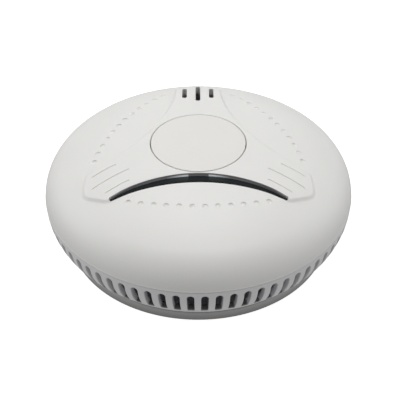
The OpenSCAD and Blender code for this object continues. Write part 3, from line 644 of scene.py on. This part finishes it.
def crescent_outline(inset=0.0, wide=0.0):
    """Outline of the window, drawn in by inset, with its ends and outer side moved out by wide."""
    half = WINDOW_HALF - WINDOW_END - inset + wide
    upper = Vector((0, -WINDOW_TOP - RISE_IN)), RISE_IN - inset
    lower = Vector((0, -WINDOW_BOTTOM - RISE_OUT)), RISE_OUT + inset - wide
    ends = [math.asin(half / radius) for _, radius in (upper, lower)]
    points = arc(*upper, RIGHT + ends[0], RIGHT - ends[0], WINDOW_STEPS)
    tip = points[-1]
    foot = lower[0] + polar(lower[1], RIGHT - ends[1])
    cap = arc((tip + foot) / 2, (tip - foot).length / 2, RIGHT, -RIGHT, 8)[1:-1]
    points += cap
    points += arc(*lower, RIGHT - ends[1], RIGHT + ends[1], WINDOW_STEPS)
    points += [Vector((-p.x, p.y)) for p in reversed(cap)]
    return points


def loop_of(bm, points):
    """Closed loop of edges through points of the plan."""
    verts = [bm.verts.new((p.x, p.y, 0)) for p in points]
    return [bm.edges.new(pair) for pair in zip(verts, verts[1:] + verts[:1])]


def kind_of(geom, kind):
    """Those of some mesh elements that are of one kind."""
    return [g for g in geom if isinstance(g, kind)]


def slice_up(bm, geom, planes):
    """Cuts faces along planes, each a point and a direction."""
    for point, normal in planes:
        cut = bmesh.ops.bisect_plane(bm, geom=geom, dist=SAME, plane_co=point, plane_no=normal)
        geom = cut["geom"]
    return geom


def grid_planes(low, high, step, axis):
    """Planes square to an axis, a step apart."""
    count = int((high - low) / step)
    spread = (high - low) / count
    return [(axis * (low + i * spread), axis) for i in range(1, count)]


def rim_edges(bm, r):
    """Open edges that lie on a circle round the axis."""
    return [e for e in bm.edges if e.is_boundary and all(abs(v.co.xy.length - r) < TOUCH for v in e.verts)]


def ring(bm, edges, r, z):
    """Draws a ring of edges out to another radius and height, and gives the new ring."""
    made = set(kind_of(bmesh.ops.extrude_edge_only(bm, edges=edges)["geom"], bmesh.types.BMVert))
    for v in made:
        v.co = (v.co.xy.normalized() * r).to_3d() + z * UP
    return [e for e in {e for v in made for e in v.link_edges} if set(e.verts) <= made]


def level(height):
    """The same height all over the plan."""
    return lambda x, y: height


def under_dome(depth):
    """Height of the dome's skin moved in by a depth."""
    return lambda x, y: dome_z(math.hypot(x, y), -depth)


def under_skin(depth):
    """Height of the cover's skin, lowered by a depth."""
    return lambda x, y: cover_z(x, y) - depth


def over_cell(x, y):
    """Height of the hollow that the cell lies in."""
    return CELL_Z - math.sqrt(SADDLE_R**2 - (y - CELL_Y) ** 2)


def prism(bm, points, bottom, top, planes=(), holes=()):
    """Closed solid over an outline, with holes, between two heights that may change over the plan."""
    if holes:
        edges = [e for loop in (points, *holes) for e in loop_of(bm, loop)]
        filled = bmesh.ops.triangle_fill(bm, use_beauty=True, use_dissolve=False, edges=edges, normal=UP)
        base = kind_of(filled["geom"], bmesh.types.BMFace)
    else:
        face = bm.faces.new([bm.verts.new((p.x, p.y, 0)) for p in points])
        base = kind_of(slice_up(bm, [face, *face.edges, *face.verts], planes), bmesh.types.BMFace)
    low = {v for f in base for v in f.verts}
    high = kind_of(bmesh.ops.extrude_face_region(bm, geom=base)["geom"], bmesh.types.BMVert)
    for verts, height in ((high, top), (low, bottom)):
        for v in verts:
            v.co.z = height(v.co.x, v.co.y)


def spun(bm, profile, steps):
    """Turns a half section, a list of radius and height, into a closed round solid."""
    verts = [bm.verts.new((r, 0, z)) for r, z in profile]
    edges = [bm.edges.new(pair) for pair in zip(verts, verts[1:])]
    bmesh.ops.spin(bm, geom=verts + edges, cent=(0, 0, 0), axis=UP, angle=TURN, steps=steps, use_merge=True)
    bmesh.ops.remove_doubles(bm, verts=bm.verts, dist=SAME)


def piece(bm, name, body, finish, slot, *nodes):
    """Turns a finished bmesh into a piece that rides on a body and stands for its nodes."""
    bmesh.ops.recalc_face_normals(bm, faces=bm.faces)
    mesh = bpy.data.meshes.new(name)
    bm.to_mesh(mesh)
    bm.free()
    obj = bpy.data.objects.new(name, mesh)
    scene.collection.objects.link(obj)
    dress(obj, finish)
    smooth(mesh)
    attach(obj, body)
    if nodes:
        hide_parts(*nodes)
    return obj


def dress(obj, finish):
    """Gives an object one finish all over."""
    obj.data.materials.clear()
    obj.data.materials.append(finish)


def smooth(mesh):
    """Smooth shading that stops at sharp edges."""
    mesh.shade_smooth()
    mesh.set_sharp_from_angle(angle=SHARP)


def round_over(r, z, radius, start, end, steps=3):
    """Half-section points round an edge whose centre of curvature is given."""
    return [(p.x, p.y) for p in arc(Vector((r, z)), radius, start, end, steps)]


def dome_points(lift, r_from, r_to, steps):
    """Half-section points along the dome between two radii."""
    rs = [r_from + (r_to - r_from) * i / steps for i in range(steps + 1)]
    return [(r, dome_z(r, lift)) for r in rs]


def cover_skin(bm):
    """Outer skin between bore and brim: a plan with rings along the panel's slope, lifted to its height."""
    band = [PANEL_ROUND * i / 2 for i in range(-3, 9)]
    loops = [loop_of(bm, panel_outline(out)) for out in band]
    for inner, outer in zip(loops, loops[1:]):
        bmesh.ops.bridge_loops(bm, edges=inner + outer)
    mouth = loop_of(bm, circle(MOUTH_R, BODY_STEPS))
    brim = loop_of(bm, circle(BRIM_R, BRIM_STEPS))
    for edges in (mouth + loops[0], brim + loops[-1]):
        bmesh.ops.triangle_fill(bm, use_beauty=True, use_dissolve=False, edges=edges, normal=UP)
    planes = [p for axis in (ALONG_X, ALONG_Y) for p in grid_planes(-BRIM_R, BRIM_R, SKIN_CUT, axis)]
    slice_up(bm, [*bm.verts, *bm.edges, *bm.faces], planes)
    for v in bm.verts:
        v.co.z = cover_z(v.co.x, v.co.y)


def cover_section():
    """Half section from the brim down to the lip at the seam, and back under the dome to the bore."""
    lip_z = SEAM_Z + SEAM_GAP
    bead_z = lip_z + BEAD_H
    low_turn = math.asin((bead_z - SEAM_Z) / EDGE_R)
    profile = []
    for p in arc(EDGE_AT, EDGE_R, BRIM_TURN, low_turn, 16)[1:]:
        near = max(0, 1 - (p.y - bead_z) / BEAD_RUN)
        profile.append((p.x - BEAD * near**2, p.y))
    profile += [(BODY_R - BEAD / 3, bead_z - BEAD_H / 4), (BODY_R, bead_z - BEAD_H / 2)]
    profile += round_over(BODY_R - SEAM_ROUND, lip_z + SEAM_ROUND, SEAM_ROUND, 0, -RIGHT)[1:]
    profile += [(BODY_R - SEAM_DEPTH, lip_z), (BODY_R - SEAM_DEPTH, SEAM_Z), (BODY_R - COVER_WALL, SEAM_Z)]
    profile += [tuple(p) for p in arc(EDGE_AT, EDGE_R - COVER_WALL, 0, BRIM_TURN, 8)[1:]]
    profile += dome_points(-COVER_WALL, profile[-1][0], BORE_R, 8)[1:]
    return profile


def front_cover():
    """Domed shell with its raised panel and all that is cut into it."""
    bm = bmesh.new()
    cover_skin(bm)
    outside = rim_edges(bm, BRIM_R)
    for r, z in cover_section():
        outside = ring(bm, outside, r, z)
    bore = rim_edges(bm, MOUTH_R)
    mouth_z = dome_z(MOUTH_R, PANEL_RISE) - RIM_ROUND
    for r, z in round_over(MOUTH_R, mouth_z, RIM_ROUND, RIGHT, 2 * RIGHT)[1:]:
        bore = ring(bm, bore, r, z)
    bmesh.ops.bridge_loops(bm, edges=outside + bore)
    cover = piece(bm, "front_cover_shell", "head", cover_plastic, "cover_plastic", "front_cover")
    cut_away(cover, cover_cuts())
    face_skin(cover.data)


def cover_cuts():
    """Everything that is cut out of the cover: window, sound slots, grooves and dents."""
    bm = bmesh.new()
    prism(bm, crescent_outline(), level(CUT_LOW), level(CUT_HIGH))
    for arm in ARMS:
        mark_cuts(bm, arm)
    for side in SIDES:
        dent_cuts(bm, side)
    bmesh.ops.recalc_face_normals(bm, faces=bm.faces)
    return bm


def mark_cuts(bm, arm):
    """Sound slots right through the first arm, and grooves in the two others."""
    along = polar(1, arm).to_3d()
    for start, end, side in arm_marks():
        if arm == ARM_TURN:
            prism(bm, slot_outline(start, end, SOUND_W, arm, side), level(CUT_LOW), level(CUT_HIGH))
        else:
            planes = grid_planes(start, end, GROOVE_CUT, along)
            outline = slot_outline(start, end, GROOVE_W, arm, side)
            prism(bm, outline, under_skin(GROOVE_DEPTH), level(CUT_HIGH), planes)


def dent_cuts(bm, side):
    """Curved row of round bowls along one side of the panel."""
    bowl = Matrix.Diagonal((DENT_D / 2, DENT_D / 2, DENT_DEPTH, 1))
    for i in range(DENT_COUNT):
        across = (i - (DENT_COUNT - 1) / 2) * DENT_PITCH
        out = DENT_DISTANCE - DENT_ROW_R + math.sqrt(DENT_ROW_R**2 - across**2)
        spot = polar(math.hypot(out, across), side + math.atan2(across, out))
        centre = spot.to_3d() + dome_z(spot.length) * UP
        tilt = UP.rotation_difference(cover_normal(spot.x, spot.y)).to_matrix().to_4x4()
        matrix = Matrix.Translation(centre) @ tilt @ bowl
        bmesh.ops.create_uvsphere(bm, u_segments=24, v_segments=14, radius=1, matrix=matrix)


def cut_away(obj, bm):
    """Cuts the solids of a bmesh out of a piece."""
    mesh = bpy.data.meshes.new("cuts")
    bm.to_mesh(mesh)
    bm.free()
    tool = bpy.data.objects.new("cuts", mesh)
    scene.collection.objects.link(tool)
    modifier = obj.modifiers.new("cuts", "BOOLEAN")
    modifier.operation = "DIFFERENCE"
    modifier.solver = "EXACT"
    modifier.object = tool
    bpy.context.view_layer.update()
    cut = bpy.data.meshes.new_from_object(obj.evaluated_get(bpy.context.evaluated_depsgraph_get()))
    obj.modifiers.clear()
    obj.data = cut
    bpy.data.objects.remove(tool)
    smooth(cut)


def face_skin(mesh):
    """Gives the faces of the cover's skin the exact direction of the surface."""
    on_skin = []
    for v in mesh.vertices:
        inside = v.co.xy.length < BRIM_R + TOUCH
        on_skin.append(inside and abs(v.co.z - cover_z(v.co.x, v.co.y)) < TOUCH / 5)
    normals = [Vector((0, 0, 0))] * len(mesh.loops)
    for face in mesh.polygons:
        if all(on_skin[i] for i in face.vertices):
            for loop in face.loop_indices:
                x, y, _ = mesh.vertices[mesh.loops[loop].vertex_index].co
                normals[loop] = cover_normal(x, y)
    mesh.normals_split_custom_set(normals)


def cover_bosses():
    """Tubes under the cover that take the housing screws."""
    bm = bmesh.new()
    for turn in SCREW_DIRS:
        centre = polar(SCREW_RING, turn)
        boss = circle(BOSS_R, BOSS_STEPS, centre)
        hole = circle(SCREW_HOLE_R, HOLE_STEPS, centre)
        prism(bm, boss, level(BOSS_JOINT), under_dome(0.9 * COVER_WALL), holes=[hole])
    piece(bm, "cover_bosses", "head", cover_plastic, "cover_plastic")


def test_button():
    """Cap with a stem over the switch and three lips that hold it in the bore."""
    bm = bmesh.new()
    stem_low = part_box("switch_plunger")[1].z + STEM_GAP
    inner_r = BUTTON_R - BUTTON_WALL
    crown_r = BUTTON_R - RIM_ROUND
    rim_z = dome_z(crown_r, PANEL_RISE) - RIM_ROUND
    lip_r = BUTTON_R + LIP_OUT
    lip_top = dome_z(lip_r, -COVER_WALL) - LIP_GAP
    low = lip_top - LIP_T
    profile = dome_points(PANEL_RISE, 0, crown_r, 16)
    profile += round_over(crown_r, rim_z, RIM_ROUND, RIGHT, 0, 4)[1:]
    profile += [(BUTTON_R, low), (inner_r, low)]
    profile += dome_points(PANEL_RISE - BUTTON_T, inner_r, STEM_R, 4)
    profile += [(STEM_R, stem_low), (0, stem_low)]
    spun(bm, profile, BODY_STEPS)
    spread = LIP_W / 2 / lip_r
    for arm in ARMS:
        outline = sector(BUTTON_R - BUTTON_WALL / 2, lip_r, arm - spread, arm + spread)
        prism(bm, outline, level(low), level(lip_top))
    piece(bm, "test_button_cap", "button", button_plastic, "button_plastic", "test_button")


def indicator_window():
    """Smoked lens in the crescent opening, with a flange under the cover."""
    bm = bmesh.new()
    planes = grid_planes(-WINDOW_HALF, WINDOW_HALF, WINDOW_CUT, ALONG_X)
    seat = COVER_WALL + WINDOW_CLEAR
    lens = crescent_outline(WINDOW_CLEAR)
    flange = crescent_outline(WINDOW_CLEAR, FLANGE_W)
    prism(bm, lens, under_dome(seat + FLANGE_T / 2), under_dome(WINDOW_RECESS), planes)
    prism(bm, flange, under_dome(seat + FLANGE_T), under_dome(seat), planes)
    piece(bm, "crescent_window", "head", smoked, "smoked_plastic", "indicator_window")


def window_edge():
    """Upright inner edge of the window, from the lens up to the panel's skin."""
    bm = bmesh.new()
    centre = Vector((0, -WINDOW_TOP - RISE_IN))
    outer = RISE_IN - EDGE_CLEAR
    end = math.asin((WINDOW_HALF - WINDOW_END) / outer)
    outline = arc(centre, outer, RIGHT + end, RIGHT - end, WINDOW_STEPS)
    outline += arc(centre, outer - EDGE_W, RIGHT - end, RIGHT + end, WINDOW_STEPS)
    prism(bm, outline, under_dome(2 * WINDOW_RECESS), under_skin(EDGE_DROP))
    piece(bm, "window_edge", "head", edge_plastic, "smoked_plastic")


SKIRT_TOP_R = BODY_R - SKIRT_STEP
SKIRT_AT = Vector((SKIRT_TOP_R - SKIRT_R, SEAM_Z))
FOOT_Z = HEAD_Z + SKIRT_FOOT


def skirt_at(z, inset=0.0):
    """Radius of the skirt's curve at a height, on its skin moved in by inset."""
    return SKIRT_AT.x + math.sqrt((SKIRT_R - inset) ** 2 - (SKIRT_AT.y - z) ** 2)


FOOT_R = skirt_at(FOOT_Z)


def vent_outline():
    """Outline of a vent slot: a round head and a foot with small corners."""
    wide = VENT_W / 2
    low = VENT_LOW + VENT_CORNER
    points = arc(Vector((0, VENT_HIGH - wide)), wide, 0, math.pi, 12)
    points += arc(Vector((VENT_CORNER - wide, low)), VENT_CORNER, math.pi, 3 * RIGHT, 4)
    points += arc(Vector((wide - VENT_CORNER, low)), VENT_CORNER, 3 * RIGHT, TURN, 4)
    return points


def vent_panel(bm):
    """One vent slot with half a rib on each side, bent to the skirt's curve."""
    step = TURN / VENT_COUNT
    half = step / 2 * SKIRT_TOP_R
    frame_corners = ((-half, HEAD_Z), (half, HEAD_Z), (half, SEAM_Z), (-half, SEAM_Z))
    edges = loop_of(bm, [Vector(p) for p in frame_corners]) + loop_of(bm, vent_outline())
    bmesh.ops.triangle_fill(bm, use_beauty=True, use_dissolve=False, edges=edges, normal=UP)
    planes = grid_planes(HEAD_Z, SEAM_Z, SKIRT_CUT, ALONG_Y)
    planes += grid_planes(-half, half, half / 2, ALONG_X)
    planes.append((FOOT_Z * ALONG_Y, ALONG_Y))
    slice_up(bm, [*bm.verts, *bm.edges, *bm.faces], planes)
    for v in bm.verts:
        x, z, _ = v.co
        r = skirt_at(z) if z > FOOT_Z else FOOT_R
        v.co = polar(r, (x / (2 * half) + VENT_TURN) * step).to_3d() + z * UP


def rear_housing():
    """Skirt with vent slots all round: a wall whose slots and upper rim are softened."""
    bm = bmesh.new()
    vent_panel(bm)
    step = TURN / VENT_COUNT
    bmesh.ops.spin(
        bm, geom=[*bm.verts, *bm.edges, *bm.faces], cent=(0, 0, 0), axis=UP,
        angle=TURN - step, steps=VENT_COUNT - 1, use_duplicate=True,
    )
    bmesh.ops.remove_doubles(bm, verts=bm.verts, dist=WELD)
    open_edges = [e for e in bm.edges if e.is_boundary]
    rims = [e for e in open_edges if all(HEAD_Z + TOUCH < v.co.z < SEAM_Z - TOUCH for v in e.verts)]
    top = [e for e in open_edges if all(v.co.z > SEAM_Z - TOUCH for v in e.verts)]
    inner = bmesh.ops.duplicate(bm, geom=[*bm.verts, *bm.edges, *bm.faces])["geom"]
    walls = bmesh.ops.extrude_edge_only(bm, edges=open_edges)["geom"]
    for v in kind_of(inner + walls, bmesh.types.BMVert):
        v.co = (v.co.xy.normalized() * skirt_at(v.co.z, SKIRT_WALL)).to_3d() + v.co.z * UP
    bmesh.ops.remove_doubles(bm, verts=bm.verts, dist=WELD)
    bmesh.ops.recalc_face_normals(bm, faces=bm.faces)
    bmesh.ops.bevel(
        bm, geom=rims + top, offset=VENT_SOFT, offset_type="OFFSET", segments=2, profile=0.5,
        affect="EDGES", clamp_overlap=True, material=-1,
    )
    piece(bm, "vented_skirt", "head", housing_plastic, "housing_plastic", "rear_housing")


def housing_floor(bm):
    """Floor with slots for the plate's hooks and holes for the screw heads."""
    reach = HOOK_T / 2 + HOOK_CLEAR
    ahead = HOOK_POST + HOOK_SLACK
    back = HOOK_TWIST + ahead
    slots = [sector(HOOK_R - reach, HOOK_R + reach, a - back, a + ahead) for a in ARMS]
    heads = [circle(HEAD_HOLE_R, BOSS_STEPS, polar(SCREW_RING, a)) for a in SCREW_DIRS]
    prism(bm, circle(FLOOR_R, BODY_STEPS), level(HEAD_Z), level(FLOOR_Z), holes=slots + heads)


def housing_tongue(bm):
    """Tongue that stands up into the cover, and its seat on the skirt."""
    inner, outer, low, high = TONGUE
    prism(bm, circle(outer, BODY_STEPS), level(low), level(high), holes=[circle(inner, BODY_STEPS)])
    seat = circle(SKIRT_TOP_R - SKIRT_WALL / 2, BODY_STEPS)
    prism(bm, seat, level(low), level(SEAM_Z - TOUCH), holes=[circle(outer - TOUCH, BODY_STEPS)])


def housing_bosses(bm):
    """Tubes that the housing screws go through, wider below for their heads."""
    for turn in SCREW_DIRS:
        centre = polar(SCREW_RING, turn)
        boss = circle(BOSS_R, BOSS_STEPS, centre)
        hole = circle(SCREW_HOLE_R, HOLE_STEPS, centre)
        head = circle(HEAD_HOLE_R, BOSS_STEPS, centre)
        prism(bm, boss, level(FLOOR_Z - TOUCH), level(HEAD_HOLE_TOP), holes=[head])
        prism(bm, boss, level(HEAD_HOLE_TOP), level(BOSS_JOINT), holes=[hole])


def board_posts(bm):
    """Posts under the board, with holes for its screws."""
    for place in POSTS:
        post = circle(POST_R, BOSS_STEPS, Vector(place))
        hole = circle(POST_HOLE_R, HOLE_STEPS, Vector(place))
        prism(bm, post, level(FLOOR_Z - TOUCH), level(POST_HOLE_LOW))
        prism(bm, post, level(POST_HOLE_LOW), level(BOARD_Z), holes=[hole])


def cell_saddles(bm):
    """Upright plates with a hollow that the cell lies in."""
    near, far = CELL_Y - SADDLE_W / 2, CELL_Y + SADDLE_W / 2
    planes = grid_planes(near, far, SADDLE_CUT, ALONG_Y)
    for x in SADDLES:
        left, right = x - SADDLE_T / 2, x + SADDLE_T / 2
        outline = [Vector(p) for p in ((left, near), (right, near), (right, far), (left, far))]
        prism(bm, outline, level(FLOOR_Z - TOUCH), over_cell, planes)


def housing_inside():
    """Floor and everything that stands on it inside the skirt."""
    bm = bmesh.new()
    for add in (housing_floor, housing_tongue, housing_bosses, board_posts, cell_saddles):
        add(bm)
    piece(bm, "housing_inside", "head", inner_plastic, "housing_plastic")


def mounting_plate():
    """Flat plate with an upright rim and two slots for the ceiling screws."""
    bm = bmesh.new()
    plate_r = FOOT_R - PLATE_INSET
    inner_r = plate_r - PLATE_RIM
    profile = [(0, 0)]
    profile += round_over(plate_r - PLATE_FOOT, PLATE_FOOT, PLATE_FOOT, -RIGHT, 0)
    profile += round_over(plate_r - PLATE_ROUND, PLATE_H - PLATE_ROUND, PLATE_ROUND, 0, RIGHT, 5)
    profile += [(inner_r, PLATE_H), (inner_r, PLATE_T), (0, PLATE_T)]
    spun(bm, profile, BODY_STEPS)
    plate = piece(bm, "ceiling_plate", "bracket", plate_plastic, "plate_plastic", "mounting_plate")
    slots = bmesh.new()
    for turn in (0, math.pi):
        prism(slots, slot_outline(*SCREW_SLOT, turn), level(-PLATE_T), level(2 * PLATE_T))
    cut_away(plate, slots)


def bayonet_hooks():
    """Three hooks on the plate: a post and a lip that holds the head."""
    bm = bmesh.new()
    inner, outer = HOOK_R - HOOK_T / 2, HOOK_R + HOOK_T / 2
    for arm in ARMS:
        post = sector(inner, outer, arm - HOOK_POST, arm + HOOK_POST)
        lip = sector(inner, outer, arm + HOOK_POST, arm + HOOK_REACH)
        prism(bm, post, level(PLATE_T - TOUCH), level(HOOK_TOP))
        prism(bm, lip, level(LIP_LOW), level(HOOK_TOP))
    piece(bm, "bayonet_hooks", "bracket", plate_plastic, "plate_plastic")


def floor():
    """Plain pale floor that throws no light on the object."""
    bm = bmesh.new()
    bmesh.ops.create_grid(bm, x_segments=1, y_segments=1, size=FLOOR_HALF)
    mesh = bpy.data.meshes.new("floor")
    bm.to_mesh(mesh)
    bm.free()
    obj = bpy.data.objects.new("floor", mesh)
    scene.collection.objects.link(obj)
    paint = Finish("floor_paint", Base_Color=rgb(FLOOR_TONE), Roughness=0.9)
    paint.set({"Emission Color": rgb(WHITE), "Emission Strength": FLOOR_GLOW})
    dress(obj, paint.material)
    obj.visible_diffuse = False
    obj.visible_glossy = False


def studio():
    """White surroundings, with a white table's light from below."""
    world = bpy.data.worlds.new("studio")
    scene.world = world
    world.use_nodes = True
    tree = world.node_tree
    back = tree.nodes["Background"]
    way = tree.nodes.new("ShaderNodeTexCoord")
    split = tree.nodes.new("ShaderNodeSeparateXYZ")
    grade = tree.nodes.new("ShaderNodeMapRange")
    tree.links.new(way.outputs["Generated"], split.inputs["Vector"])
    tree.links.new(split.outputs["Z"], grade.inputs["Value"])
    tree.links.new(grade.outputs["Result"], back.inputs["Strength"])
    back.inputs["Color"].default_value = rgb(WHITE)
    for name, value in STUDIO.items():
        grade.inputs[name].default_value = value


def softbox(name, place, size, power):
    """Round area light that looks at the object."""
    light = bpy.data.lights.new(name, "AREA")
    light.shape = "DISK"
    light.size = size
    light.energy = power
    obj = bpy.data.objects.new(name, light)
    scene.collection.objects.link(obj)
    obj.location = place
    obj.rotation_euler = (Vector(place) - AIM).to_track_quat("Z", "Y").to_euler()


def camera():
    """Camera at the photograph's viewing angle."""
    lens = bpy.data.cameras.new("camera")
    lens.sensor_width = FILM
    lens.lens = LENS
    lens.shift_x, lens.shift_y = SHIFT
    lens.clip_start = NEAREST
    eye = bpy.data.objects.new("camera", lens)
    scene.collection.objects.link(eye)
    turn = Matrix.Rotation(CAMERA_TURN, 4, "Z") @ Matrix.Rotation(RIGHT - CAMERA_RISE, 4, "X")
    roll = Matrix.Rotation(CAMERA_ROLL, 4, "Z")
    eye.matrix_world = Matrix.Translation(AIM) @ turn @ Matrix.Translation(CAMERA_DISTANCE * UP) @ roll
    scene.camera = eye


cover_plastic = moulded_plastic("cover_plastic_finish", COVER_TONE)
button_plastic = moulded_plastic("button_plastic_finish", BUTTON_TONE)
housing_plastic = moulded_plastic("housing_plastic_finish", HOUSING_TONE, shading=slot_shading)
inner_plastic = moulded_plastic("inner_plastic_finish", HOUSING_TONE)
plate_plastic = moulded_plastic("plate_plastic_finish", PLATE_TONE, 0.5, shading=rim_shading)
smoked = smoked_plastic("smoked_plastic_finish")
edge_plastic = edge_grey_with_painted_light("window_edge_finish")

# Finishes of the pieces that keep their solids: how each is made, its tone and its other values
INNER_LOOKS = {
    "clear_plastic": (clear_resin, (0.80, 0.84, 0.85)),
    "led_resin": (clear_resin, (0.86, 0.84, 0.70)),
    "board_laminate": (board_laminate,),
    "chamber_plastic": (plain_surface, (0.022, 0.022, 0.022), 0.6),
    "screen_steel": (worked_metal, (0.30, 0.30, 0.31), 0.4, 0.01 * MM),
    "emitter_resin": (clear_resin, (0.30, 0.26, 0.42)),
    "diode_resin": (plain_surface, (0.03, 0.03, 0.035), 0.15),
    "sounder_plastic": (plain_surface, (0.04, 0.04, 0.04), 0.45),
    "brass": (worked_metal, (0.80, 0.60, 0.25), 0.25, 0.004 * MM),
    "piezo_ceramic": (plain_surface, (0.80, 0.77, 0.68), 0.35),
    "switch_plastic": (plain_surface, (0.06, 0.06, 0.06), 0.4),
    "plunger_plastic": (plain_surface, (0.45, 0.05, 0.03), 0.4),
    "cell_can": (plain_surface, (0.05, 0.08, 0.14), 0.25),
    "nickel_strip": (worked_metal, (0.70, 0.69, 0.66), 0.3, 0.006 * MM),
    "chip_resin": (plain_surface, (0.03, 0.03, 0.03), 0.5),
    "capacitor_can": (plain_surface, (0.05, 0.06, 0.10), 0.25),
    "coil_metal": (worked_metal, (0.45, 0.20, 0.09), 0.3, 0.03 * MM),
    "resistor_ceramic": (plain_surface, (0.05, 0.05, 0.05), 0.3),
    "screw_steel": (worked_metal, (0.62, 0.62, 0.60), 0.3, 0.006 * MM),
}
FINISHES = {slot: make(slot + "_finish", *values) for slot, (make, *values) in INNER_LOOKS.items()}

front_cover()
cover_bosses()
test_button()
indicator_window()
window_edge()
rear_housing()
housing_inside()
mounting_plate()
bayonet_hooks()
for part in frame["record"]["subparts"]:
    slot = part["material_slot"]
    if slot in FINISHES:
        dress(frame["nodes"][part["node"]], FINISHES[slot])

scene.view_settings.view_transform = "Standard"
floor()
studio()
for name, (place, size, power) in SOFTBOXES.items():
    softbox(name, place, size, power)
camera()
